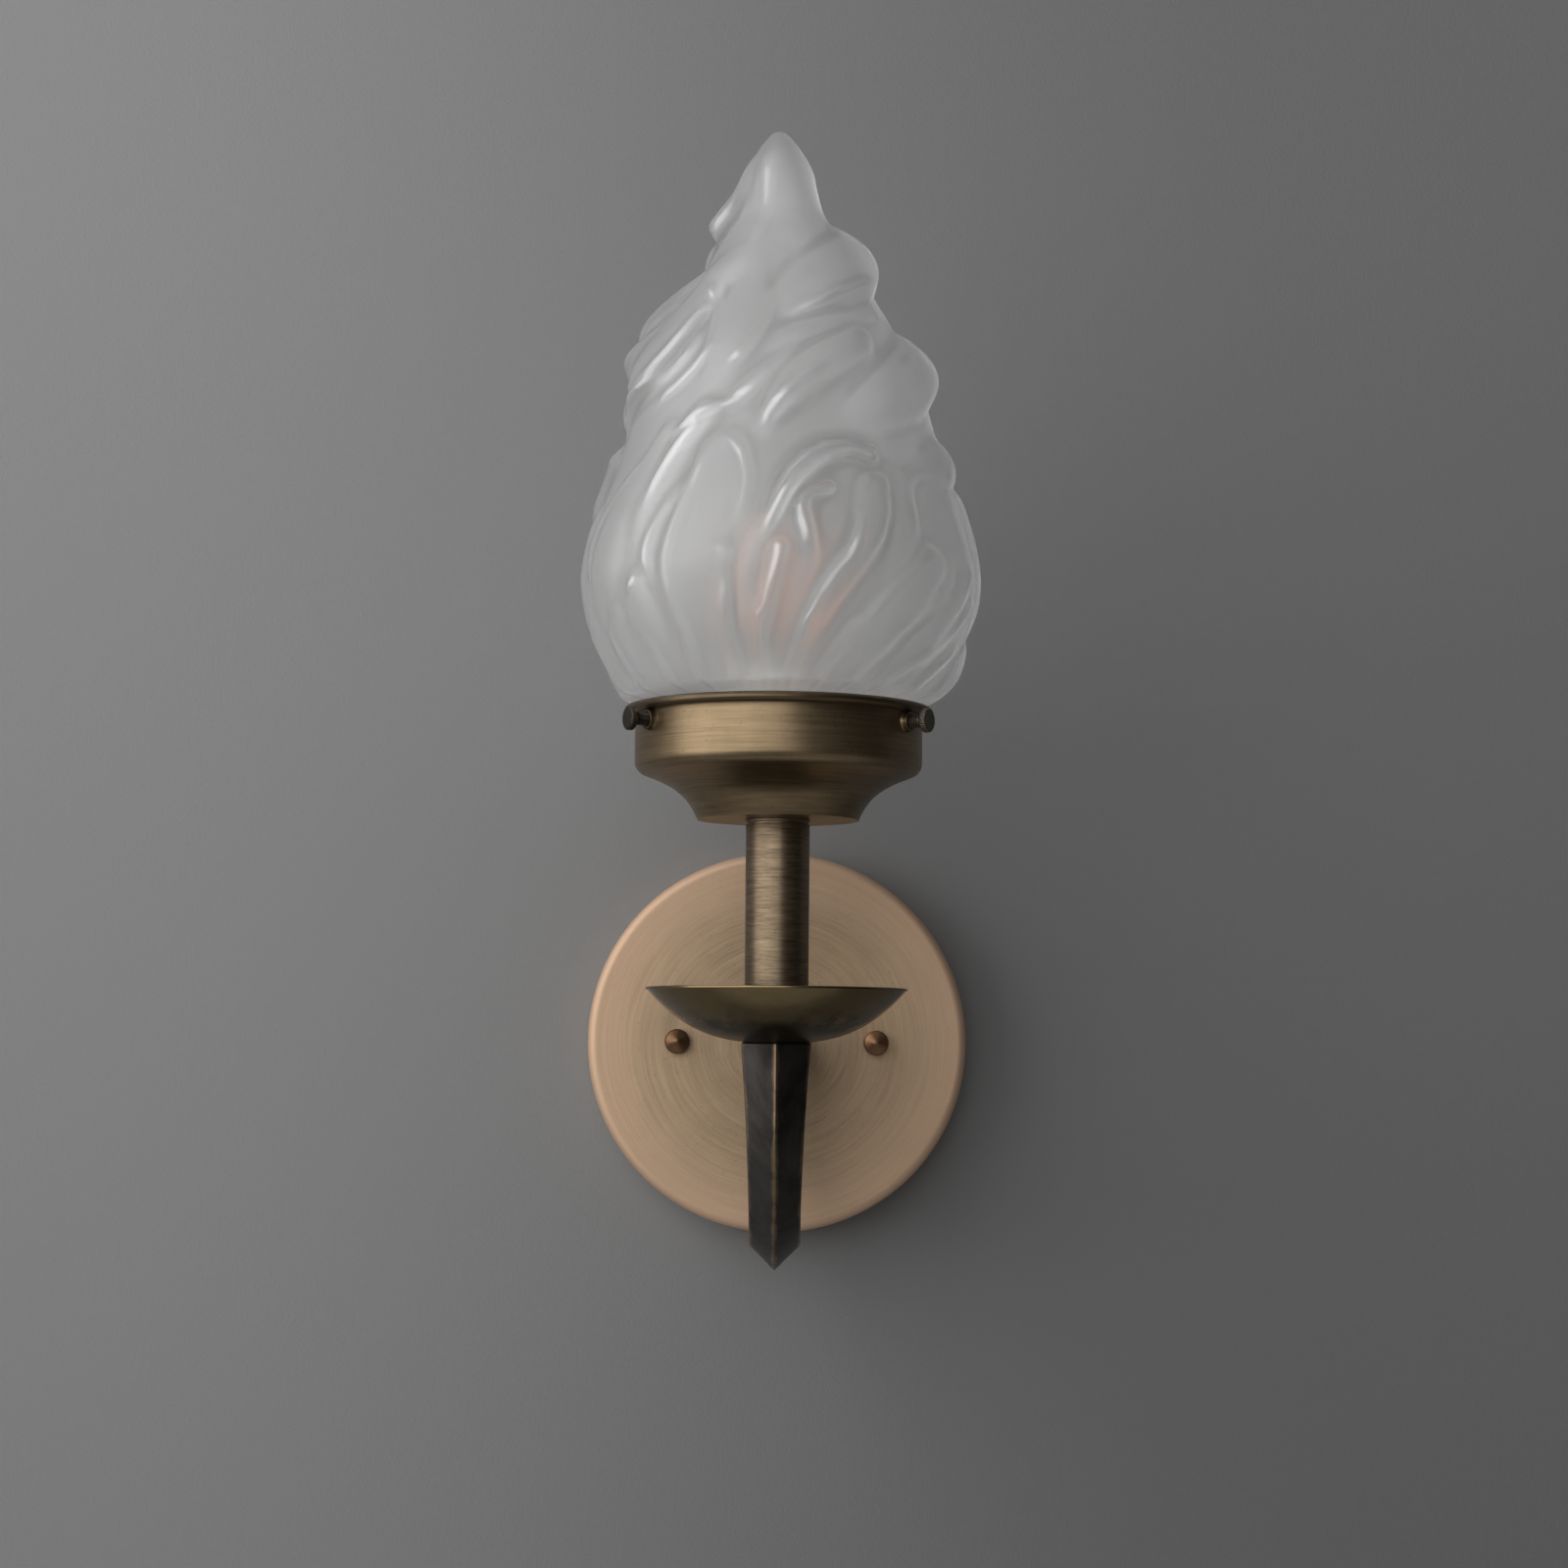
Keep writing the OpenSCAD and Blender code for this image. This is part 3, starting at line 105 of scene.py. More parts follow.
class SconceFinishes(bpy.types.PropertyGroup):
    """Colours of the finishes."""

    plate: tint("Plate", "Tan brushed face of the wall plate", (0.4, 0.287, 0.18))
    plate_rim: tint("Plate rim", "Peach of the plate's worn rim", (0.72, 0.5, 0.35))
    arm: tint("Arm", "Dark patina of the arm", (0.052, 0.047, 0.043))
    worn: tint("Worn edge", "Golden metal where the patina is worn", (0.3, 0.2, 0.12))
    dish: tint("Dish", "Olive patina of the dish", (0.045, 0.033, 0.017))
    tube: tint("Tube", "Bronze of the candle tube", (0.21, 0.155, 0.1))
    cup: tint("Cup", "Bronze of the cup", (0.225, 0.162, 0.094))
    nut: tint("Nuts", "Copper brown of the cap nuts", (0.17, 0.09, 0.048))
    screw: tint("Screws", "Dark bronze of the thumb screws", (0.07, 0.058, 0.045))
    brass: tint("Brass", "Plain brass of the inner parts", (0.72, 0.5, 0.22))
    zinc: tint("Zinc", "Zinc plate of nuts and bracket", (0.62, 0.64, 0.66))
    glass: tint("Glass", "Frosted glass of the flame", (0.84, 0.84, 0.838))
    porcelain: tint("Porcelain", "Glaze of the lamp holder", (0.82, 0.8, 0.74))
    filament: tint("Filament", "Matt coat of the bulb's filaments", (0.95, 0.42, 0.22))


class SconceStage(bpy.types.PropertyGroup):
    """Light, wall and floor."""

    wall: tint("Wall", "Plain wall behind the light", (0.285, 0.285, 0.285))
    floor: tint("Floor", "Plain pale floor", (0.8, 0.8, 0.79))
    key_power: power("Key light", "Power of the soft light on the left", 13.0)
    front_power: power("Front light", "Power of the soft light by the camera", 13.0)
    around: IntProperty(name="Segments", description="Sides of the large turned pieces",
                        default=160, min=32, max=512)


# ---------- shapes, in millimetres ----------

# Places and standard sizes that the CAD model has too
REACH = 132.0                        # from the wall to the lamp's axis
SCREW_Z = 99.1                       # height of the thumb screws
SCREW_AZIMUTHS = {"left": -60, "right": 60, "back": 180}
NUT_X = 34.925                       # from the plate's middle to a cap nut
HOLE_R, SLIP_R = 5.25, 5.3           # holes for the pipe in fixed and in slid-on parts
PIPE_R, PIPE_BORE = 5.15, 3.4
PIPE_PITCH = 0.94
SCREW_R = 2.085
SCREW_PITCH = 0.79375
LAMP_PITCH = 3.63                    # of the rolled thread of the bulb and its holder
CUP_Z, CUP_SHOULDER_Z = 69.9, 87.9
HOLDER_CAP_Z = 75.25
BULB_Z, BULB_H, BULB_JOIN = 90.4, 105.0, 26.0

ON_AXIS = Matrix.Translation((0, -REACH, 0))
ON_BULB = ON_AXIS @ Matrix.Translation((0, 0, BULB_Z))
OFF_WALL = Matrix.Rotation(math.pi / 2, 4, "X")


def at_screw(azimuth):
    """Place of a thumb screw: its own +Z points out of the cup."""
    spin = Matrix.Rotation(math.radians(azimuth), 4, "Z")
    return Matrix.Translation((0, -REACH, SCREW_Z)) @ spin @ OFF_WALL


def off_wall(x, rise=0.0):
    """Place on the wall beside the plate's middle: its own +Z points off the wall."""
    return OFF_WALL @ Matrix.Translation((x, 0, rise))


def sizes():
    """The sizes in millimetres, by name."""
    group = bpy.context.scene.sconce_sizes
    return {name: getattr(group, name) / MM for name in SconceSizes.__annotations__}


def ease(start, stop, x):
    """A smooth step from 0 at start to 1 at stop."""
    t = np.clip((x - start) / (stop - start), 0, 1)
    return t * t * (3 - 2 * t)


def line(a, b, n, skip=0):
    """Points from a to b in n steps, without the first when skip is 1."""
    return [tuple(np.add(a, np.subtract(b, a) * i / n)) for i in range(skip, n + 1)]


def arc(centre, radius, start, stop, n):
    """Points on a circle between two angles in degrees."""
    angles = np.radians(np.linspace(start, stop, n + 1))
    return [(centre[0] + radius * math.cos(a), centre[1] + radius * math.sin(a)) for a in angles]


def bezier(a, b, c, d, n):
    """Points on a cubic curve."""
    t = np.linspace(0, 1, n + 1)[:, None]
    s = 1 - t
    return [tuple(p) for p in s**3 * a + 3 * s * s * t * b + 3 * s * t * t * c + t**3 * d]


def beside(path, distance):
    """The path moved sideways to its left."""
    p = np.array(path, float)
    t = np.gradient(p, axis=0)
    t /= np.linalg.norm(t, axis=1)[:, None]
    return [tuple(q) for q in p + distance * np.stack([-t[:, 1], t[:, 0]], 1)]


def rounded(corners, steps=5):
    """An outline of [radius, height, fillet] corners with the fillets put in."""
    out = []
    ring = corners[0][0] > 1e-6
    for i, corner in enumerate(corners):
        p = np.array(corner[:2], float)
        fillet = corner[2] if len(corner) > 2 else 0
        if not fillet or (not ring and i in (0, len(corners) - 1)):
            out.append(tuple(p))
            continue
        before = np.array(corners[i - 1][:2], float) - p
        after = np.array(corners[(i + 1) % len(corners)][:2], float) - p
        a = p + before / np.linalg.norm(before) * min(fillet, 0.49 * np.linalg.norm(before))
        b = p + after / np.linalg.norm(after) * min(fillet, 0.49 * np.linalg.norm(after))
        for t in np.linspace(0, 1, steps + 1):
            out.append(tuple((1 - t) ** 2 * a + 2 * t * (1 - t) * p + t * t * b))
    return out


def strips(rings, around, closed):
    """Faces between rings of points, and back to the first ring when closed."""
    faces = []
    for i in range(rings if closed else rings - 1):
        a, b = i * around, (i + 1) % rings * around
        for j in range(around):
            k = (j + 1) % around
            faces.append((a + j, a + k, b + k, b + j))
    return faces


def end_faces(rings, around):
    """One face over the first ring and one over the last."""
    return [tuple(range(around))[::-1], tuple((rings - 1) * around + j for j in range(around))]


def turned(outline, around, relief=None):
    """Points and faces of an outline turned about +Z. If it starts on the axis, it ends on it."""
    r = np.array([p[0] for p in outline])
    h = np.array([p[1] for p in outline])
    angle = np.arange(around) * TAU / around
    solid = r[0] < 1e-6
    radius = np.repeat(r[:, None], around, 1)
    if relief is not None:
        radius = radius + relief(angle[None, :], h[:, None], r[:, None])
    if solid:
        radius, rise = radius[1:-1], h[1:-1]
    else:
        rise = h
    heights = np.repeat(rise[:, None], around, 1)
    points = np.stack([radius * np.cos(angle), radius * np.sin(angle), heights], -1).reshape(-1, 3)
    rings = len(rise)
    faces = strips(rings, around, not solid)
    if solid:
        low, high, last = len(points), len(points) + 1, (rings - 1) * around
        points = np.vstack([points, [0, 0, h[0]], [0, 0, h[-1]]])
        for j in range(around):
            k = (j + 1) % around
            faces += [(low, k, j), (last + j, last + k, high)]
    return points, faces


def screw_thread(pitch, depth, low, high, core=0.0):
    """A helical thread between two heights, as a cut into the outline where it is over core."""
    def cut(angle, h, r):
        wave = np.clip(0.5 - 0.625 * np.cos(TAU * h / pitch - angle), 0, 1)
        fade = ease(low, low + pitch * 0.7, h) * (1 - ease(high - pitch * 0.7, high, h))
        return -depth * wave * fade * (r > core)
    return cut


def rolled_wave(angle, h):
    """The lamp's rolled thread as a wave from 0 to 1."""
    return 0.5 - 0.5 * np.cos(TAU * h / LAMP_PITCH - angle)


def threaded(low, high, pitch, radius):
    """A run of outline points close enough for a thread."""
    return line((radius, low), (radius, high), int((high - low) / pitch * 9))


def smooth_path(points, step=1.5):
    """A smooth curve through points, with a point about every step."""
    p = np.array(points, float)
    p = np.vstack([2 * p[0] - p[1], p, 2 * p[-1] - p[-2]])
    out = []
    for i in range(1, len(p) - 2):
        n = max(1, int(np.linalg.norm(p[i + 1] - p[i]) / step))
        for t in np.arange(n) / n:
            out.append(0.5 * (2 * p[i] + (p[i + 1] - p[i - 1]) * t
                              + (2 * p[i - 1] - 5 * p[i] + 4 * p[i + 1] - p[i + 2]) * t * t
                              + (3 * p[i] - p[i - 1] - 3 * p[i + 1] + p[i + 2]) * t**3))
    return np.array(out + [p[-2]])


def swept(path, radius, sides=16, ends=0.0):
    """Points and faces of a round bar along a path, with rounded ends when ends is above 0."""
    p = np.array(path, float)
    t = np.gradient(p, axis=0)
    t /= np.linalg.norm(t, axis=1)[:, None]
    n = np.cross(t[0], (0.3, 0.5, 0.8))
    angle = np.arange(sides) * TAU / sides
    run = np.concatenate([[0], np.cumsum(np.linalg.norm(np.diff(p, axis=0), axis=1))])
    rings = []
    for i in range(len(p)):
        n = n - n.dot(t[i]) * t[i]
        n /= np.linalg.norm(n)
        to_end = min(run[i], run[-1] - run[i])
        share = math.sqrt(max(0.05, 1 - (1 - to_end / ends) ** 2)) if to_end < ends else 1
        side = np.cross(t[i], n)
        rings.append(p[i] + radius * share * (np.cos(angle)[:, None] * n + np.sin(angle)[:, None] * side))
    return np.vstack(rings), strips(len(p), sides, False) + end_faces(len(p), sides)


def hexagon(across, bore, low, high, chamfer=0.5):
    """A hexagon nut with its corners turned off at both ends."""
    around = 96
    angle = np.arange(around) * TAU / around
    flat = across / 2 / np.cos((angle + math.pi / 6) % (math.pi / 3) - math.pi / 6)
    mid = across / math.sqrt(3)
    rings = [(bore, low + 0.3), (bore + 0.3, low), (mid - chamfer - 0.55, low),
             (mid - 0.3, low + chamfer * 0.6), (mid, low + chamfer), (mid, high - chamfer),
             (mid - 0.3, high - chamfer * 0.6), (mid - chamfer - 0.55, high), (bore + 0.3, high),
             (bore, high - 0.3)]
    points = []
    for r, h in rings:
        limit = np.minimum(flat, r) if r > bore + 0.5 else np.full(around, r)
        points.append(np.stack([limit * np.cos(angle), limit * np.sin(angle), np.full(around, h)], 1))
    return np.vstack(points), strips(len(rings), around, True)


def merged(*shells):
    """Several shells as one."""
    points, faces, base = [], [], 0
    for some, around in shells:
        points.append(np.asarray(some, float))
        faces += [tuple(base + i for i in face) for face in around]
        base += len(some)
    return np.vstack(points), faces


def face_outwards(mesh):
    work = bmesh.new()
    work.from_mesh(mesh)
    bmesh.ops.recalc_face_normals(work, faces=work.faces)
    work.to_mesh(mesh)
    work.free()


def bored(shell, cutters):
    """The shell with the cutters' space taken out."""
    things = []
    for points, faces in (shell, cutters):
        mesh = bpy.data.meshes.new("shaping")
        mesh.from_pydata(np.asarray(points).tolist(), [], faces)
        things.append(bpy.data.objects.new("shaping", mesh))
        bpy.context.scene.collection.objects.link(things[-1])
        face_outwards(mesh)
    cut = things[0].modifiers.new("bore", "BOOLEAN")
    cut.operation, cut.solver, cut.object = "DIFFERENCE", "EXACT", things[1]
    shaped = things[0].evaluated_get(bpy.context.evaluated_depsgraph_get()).data
    points = np.array([v.co for v in shaped.vertices])
    faces = [tuple(face.vertices) for face in shaped.polygons]
    for thing in things:
        bpy.data.meshes.remove(thing.data)
    return points, faces


def moved(shell, place):
    """The shell at another place."""
    m = np.array(place)
    return np.asarray(shell[0], float) @ m[:3, :3].T + m[:3, 3], shell[1]


def add_piece(name, shell, look, *nodes, body="fixture", sharp=35.0, **marks):
    """Adds a piece from a shell in millimetres, with marks as named values per point."""
    points, faces = shell
    mesh = bpy.data.meshes.new(name)
    mesh.from_pydata((np.asarray(points) * MM).tolist(), [], faces)
    for mark, values in marks.items():
        layer = mesh.attributes.new(mark, "FLOAT", "POINT")
        layer.data.foreach_set("value", np.asarray(values, np.float32).ravel())
    face_outwards(mesh)
    mesh.update()
    mesh.shade_smooth()
    mesh.set_sharp_from_angle(angle=math.radians(sharp))
    mesh.materials.append(finish(look))
    piece = bpy.data.objects.new(name, mesh)
    bpy.context.scene.collection.objects.link(piece)
    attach(piece, body)
    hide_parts(*nodes)
    return piece


def add_turned(name, outline, around, place, look, *nodes, relief=None, **more):
    """Adds a piece that is one outline turned about its place's +Z."""
    add_piece(name, moved(turned(outline, around, relief), place), look, *nodes, **more)


def dress(look, *nodes):
    """Gives CAD nodes a finish."""
    for node in nodes:
        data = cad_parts[node].data
        data.materials.clear()
        data.materials.append(finish(look))


# ---------- finishes ----------


class Sock:
    """A number on the way through a node tree, for use in Python expressions."""

    maths = "ShaderNodeMath"

    def __init__(self, tree, socket):
        self.tree, self.socket = tree, socket

    def with_maths(self, operation, *values):
        out = self.tree.node(self.maths, {"operation": operation}, *values)
        return type(self)(self.tree, out.socket)

    def __add__(self, other): return self.with_maths("ADD", self, other)
    def __radd__(self, other): return self.with_maths("ADD", other, self)
    def __sub__(self, other): return self.with_maths("SUBTRACT", self, other)
    def __rsub__(self, other): return self.with_maths("SUBTRACT", other, self)
    def __mul__(self, other): return self.with_maths("MULTIPLY", self, other)
    def __rmul__(self, other): return self.with_maths("MULTIPLY", other, self)
    def __truediv__(self, other): return self.with_maths("DIVIDE", self, other)
    def __rtruediv__(self, other): return self.with_maths("DIVIDE", other, self)
    def sqrt(self): return self.with_maths("SQRT", self)
    def most(self, other): return self.with_maths("MAXIMUM", self, other)

    def over(self, low, high, smooth=True):
        """0 below low, 1 above high."""
        settings = {"interpolation_type": "SMOOTHSTEP" if smooth else "LINEAR", "clamp": True}
        return self.tree.node("ShaderNodeMapRange", settings, self, low, high, 0.0, 1.0)


class VecSock(Sock):
    """A vector on the way through a node tree."""

    maths = "ShaderNodeVectorMath"

    def dot(self, other):
        """How far it points the other's way."""
        return self.tree.node(self.maths, {"operation": "DOT_PRODUCT"}, self, other, out="Value")

    def parts(self):
        """Its x, y and z as numbers."""
        split = self.tree.node("ShaderNodeSeparateXYZ", {}, self, out=None)
        return [Sock(self.tree, socket) for socket in split.outputs]


class Tree:
    """Adds nodes to an emptied node tree."""

    def __init__(self, node_tree):
        self.nodes, self.links = node_tree.nodes, node_tree.links
        self.nodes.clear()

    def feed(self, socket, value):
        """Links a socket to a Sock, or sets its value."""
        if isinstance(value, Sock):
            self.links.new(value.socket, socket)
        else:
            colour = socket.type == "RGBA" and len(value) == 3
            socket.default_value = (*value, 1.0) if colour else value

    def node(self, kind, settings, *values, out=0, **named):
        """Adds a node: its settings, then its sockets in order or by name. out=None gives the node."""
        node = self.nodes.new(kind)
        for key, value in settings.items():
            setattr(node, key, value)
        sockets = [s for s in node.inputs if s.enabled]
        for socket, value in zip(sockets, values):
            self.feed(socket, value)
        for key, value in named.items():
            self.feed(next(s for s in sockets if s.name == key), value)
        if out is None:
            return node
        if isinstance(out, str):
            return Sock(self, node.outputs[out])
        return Sock(self, [s for s in node.outputs if s.enabled][out])

    def vector(self, x, y, z):
        return VecSock(self, self.node("ShaderNodeCombineXYZ", {}, x, y, z).socket)

    def place(self, system="Object"):
        """The point on the piece at rest, in metres; in the world, Generated is the way looked."""
        return VecSock(self, self.node("ShaderNodeTexCoord", {}, out=system).socket)

    def mark(self, name):
        """A piece's named values per point."""
        return self.node("ShaderNodeAttribute", {"attribute_name": name}, out="Fac")

    def noise(self, vector, scale, detail=3.0, rough=0.5, warp=0.0):
        return self.node("ShaderNodeTexNoise", {"noise_dimensions": "3D"}, vector, Scale=scale, Detail=detail,
                         Roughness=rough, Distortion=warp)

    def blend(self, factor, a, b):
        """A colour between a and b."""
        return self.node("ShaderNodeMix", {"data_type": "RGBA", "clamp_factor": True}, factor, a, b)


# Axes that turned pieces are brushed round: direction and centre in metres
LAMP_AXIS = "Z", (0.0, -REACH * MM)
PLATE_AXIS = "Y", (0.0, 0.0)


class Finish(Tree):
    """A material with one surface shader."""

    def __init__(self, name, **uniform):
        self.material = bpy.data.materials.new(name)
        self.material.use_nodes = True
        super().__init__(self.material.node_tree)
        self.shader = self.node("ShaderNodeBsdfPrincipled", {}, out=None)
        self.bsdf = Sock(self, self.shader.outputs["BSDF"])
        self.output = self.node("ShaderNodeOutputMaterial", {}, Surface=self.bsdf, out=None)
        for key, value in uniform.items():
            self.set(key.replace("_", " "), value)

    def set(self, name, value):
        self.feed(self.shader.inputs[name], value)

    def colour(self):
        """The colour that the shader has so far."""
        return Sock(self, self.shader.inputs["Base Color"].links[0].from_socket)

    def bump(self, height, distance, strength=1.0):
        """Raises the surface by a height from 0 to 1 times a distance in metres."""
        self.set("Normal", self.node("ShaderNodeBump", {}, Strength=strength, Distance=distance, Height=height))

    def about(self, direction, centre):
        """Radius, height and the two parts of the direction from an upright (Z) or level (Y) axis."""
        x, y, z = self.place().parts()
        across, along = (y, z) if direction == "Z" else (z, y)
        a, b = x - centre[0], across - centre[1]
        radius = (a * a + b * b).sqrt().most(1e-5)
        return radius, along, a / radius, b / radius

    def drawn(self, a, b, run, scales, detail=3.0, rough=0.6):
        """Noise drawn out round an axis; scales are those round it and along the run."""
        return self.noise(self.vector(a * scales[0], b * scales[0], run * scales[1]), 1.0, detail, rough)


def shade(colour, factor):
    """A colour times a factor."""
    return tuple(min(1.0, c * factor) for c in colour)


def brushed(name, colour, rough, patina, axis=LAMP_AXIS, upright=True, metal=0.9, worn=None,
            grain=0.00004, tone=(0.72, 1.2), bright=None):
    """A turned metal with fine lines round its axis, a cloudy patina and, with worn, bare edges."""
    f = Finish(name, Metallic=metal)
    radius, along, a, b = f.about(*axis)
    run = along if upright else radius
    broad = f.drawn(a, b, run, (0.7, 520.0), 3.0, 0.65)
    lines = f.drawn(a, b, run, (1.3, 1700.0))
    fine = f.drawn(a, b, run, (4.0, 5200.0), 2.0, 0.5)
    cloud = f.noise(f.place(), 38.0, 4.0, 0.55, 0.4)
    speck = f.noise(f.place(), 900.0, 2.0)
    level = broad * 0.32 + lines * 0.5 + fine * 0.18 + (cloud - 0.5) * patina
    base = f.blend(level.over(0.34, 0.66, smooth=False), shade(colour, tone[0]), shade(bright or colour, tone[1]))
    base = f.blend(speck.over(0.62, 0.75) * 0.5, base, shade(colour, 0.55))
    rough = rough + (cloud - 0.5) * 0.12 + (lines - 0.5) * 0.1
    if worn:
        # bare metal shows where the edge mark is high; on the dish the mark fades towards the foot, so the dark
        # colour there is painted shade
        bare = (f.mark("edge") + (f.noise(f.place(), 160.0, 4.0, 0.6) - 0.5) * 0.9).over(0.35, 0.95)
        base = f.blend(bare, base, worn)
        rough = rough - bare * 0.1
    f.set("Roughness", rough)
    f.set("Base Color", base)
    f.bump(lines * 0.6 + broad * 0.2 + fine * 0.2, grain)
    return f


def cast_patina(name, colour, worn, rough=0.4):
    """A dark hand-rubbed patina, with golden metal showing along its edges."""
    f = Finish(name, Metallic=0.85)
    p = f.place()
    cloud = f.noise(p, 45.0, 5.0, 0.6, 0.6)
    fine = f.noise(p, 420.0, 3.0, 0.6)
    rub = f.noise(p, 140.0, 4.0, 0.65, 0.8)
    patch = f.noise(p, 70.0, 4.0, 0.6, 0.5)
    base = f.blend(cloud.over(0.3, 0.75), shade(colour, 0.55), shade(colour, 1.7))
    base = f.blend(fine.over(0.6, 0.8) * 0.35, base, shade(worn, 0.45))
    bare = (f.mark("edge") * 0.95 + (rub - 0.5) * 1.3 + (patch - 0.5) * 0.9).over(0.4, 1.1)
    f.set("Base Color", f.blend(bare * 0.75, base, worn))
    f.set("Roughness", rough + (cloud - 0.5) * 0.2 + (fine - 0.5) * 0.15 - bare * 0.08)
    f.bump(fine * 0.6 + cloud * 0.4, 0.00006)


def plain_metal(name, colour, rough, stain, metal=1.0):
    """A plated or raw inner metal with a little tarnish and fine machining grain."""
    f = Finish(name, Metallic=metal)
    cloud = f.noise(f.place(), 120.0, 4.0, 0.6, 0.5)
    fine = f.noise(f.place(), 1680.0, 2.0)
    base = f.blend(cloud.over(0.35, 0.75), shade(colour, 1.08), shade(colour, 1 - 0.45 * stain))
    f.set("Base Color", f.blend(fine.over(0.6, 0.75) * 0.3, base, shade(colour, 0.6)))
    f.set("Roughness", rough + (cloud - 0.5) * 0.25)
    f.bump(fine, 0.00002)


def moulded(name, colour, rough, scale=900.0, depth=0.00003, vary=0.12, coat=0.0, painted_glow=0.0):
    """A plastic, rubber or glaze with a fine moulded grain and slight clouding, and when asked a painted glow in its
    own colour.
    """
    f = Finish(name, Coat_Weight=coat, Coat_Roughness=0.08, Emission_Strength=painted_glow, Emission_Color=tuple(colour))
    cloud = f.noise(f.place(), 90.0)
    fine = f.noise(f.place(), scale, 3.0, 0.55)
    f.set("Base Color", f.blend(cloud.over(0.3, 0.7), shade(colour, 1 - vary), shade(colour, 1 + vary)))
    f.set("Roughness", rough + (fine - 0.5) * 0.2)
    f.bump(fine, depth)


def plate_finish(name, c):
    """Tan brushed plate with a peach rim where the finish is worn."""
    f = brushed(name, c.plate, 0.5, 0.3, PLATE_AXIS, upright=False, metal=0.7, tone=(0.74, 1.16), grain=0.00003)
    radius, along, a, b = f.about(*PLATE_AXIS)
    rub = f.drawn(a, b, radius, (2.0, 400.0))
    band = (radius + (rub - 0.5) * 0.006).over(0.038, 0.064)
    rim = (radius + (rub - 0.5) * 0.0012).over(0.0631, 0.0648) * (0 - along).over(0.0165, 0.0205)
    base = f.blend(band * 0.55, f.colour(), tuple(c.plate_rim))
    f.set("Base Color", f.blend(rim * 0.5, base, tuple(c.plate_rim)))
    f.set("Roughness", 0.46 + rub * 0.08 + band * 0.14)


def cup_finish(name, c):
    """Bronze cup, golden at its foot and with a darker lip."""
    f = brushed(name, c.cup, 0.36, 0.4, tone=(0.62, 1.25), worn=shade(c.worn, 1.1))
    radius, along, a, b = f.about(*LAMP_AXIS)
    rub = f.drawn(a, b, along, (6.0, 900.0))
    lip = (radius + (rub - 0.5) * 0.0008).over(0.0459, 0.0466)
    f.set("Base Color", f.blend(lip * (0.45 + rub * 0.5), f.colour(), shade(c.cup, 0.3)))


def frosted_flame(name, c):
    """Pressed frosted glass: glossy on the worn crests, whiter between, with fine etched grain; its colour has a
    painted highlight on the crests and painted shade in the hollows.
    """
    f = Finish(name, IOR=1.45, Transmission_Weight=0.87, Subsurface_Weight=1.0,
               Subsurface_Radius=(1.0, 1.0, 1.0), Subsurface_Scale=0.02, Coat_Roughness=0.15, Coat_IOR=2.1)
    p = f.place()
    etch = f.noise(p, 2600.0, 2.0)
    cloud = f.noise(p, 42.0, 3.0, 0.5, 0.5)
    crest = f.mark("crest")
    # the crests are glossy; the colour also gets a painted highlight on the crests and painted shade in the hollows
    ridge_gloss_and_highlight = crest.over(0.6, 0.95)
    hollow = 1 - crest.over(0.1, 0.45)
    base = f.blend(hollow, tuple(c.glass), shade(c.glass, 0.74))
    base = f.blend(ridge_gloss_and_highlight * 0.8, base, shade(c.glass, 1.15))
    f.set("Base Color", f.blend(cloud.over(0.35, 0.75) * 0.2, base, shade(c.glass, 0.9)))
    f.set("Roughness", 0.5 - f.mark("relief") * 0.1 + (cloud - 0.5) * 0.1 + (etch - 0.5) * 0.08)
    f.set("Coat Weight", ridge_gloss_and_highlight * 0.9)
    f.bump(f.noise(p, 140.0, 3.0, 0.55) * 0.8 + etch * 0.06, 0.0003, 0.5)


def clear_glass(name, tone=(0.97, 0.98, 0.98)):
    """Clear blown glass with faint smears."""
    f = Finish(name, IOR=1.5, Transmission_Weight=1.0)
    smear = f.noise(f.place(), 60.0, 4.0, 0.6, 1.0)
    f.set("Base Color", f.blend(smear.over(0.4, 0.8), tone, shade(tone, 0.96)))
    f.set("Roughness", 0.02 + smear.over(0.5, 0.8) * 0.05)


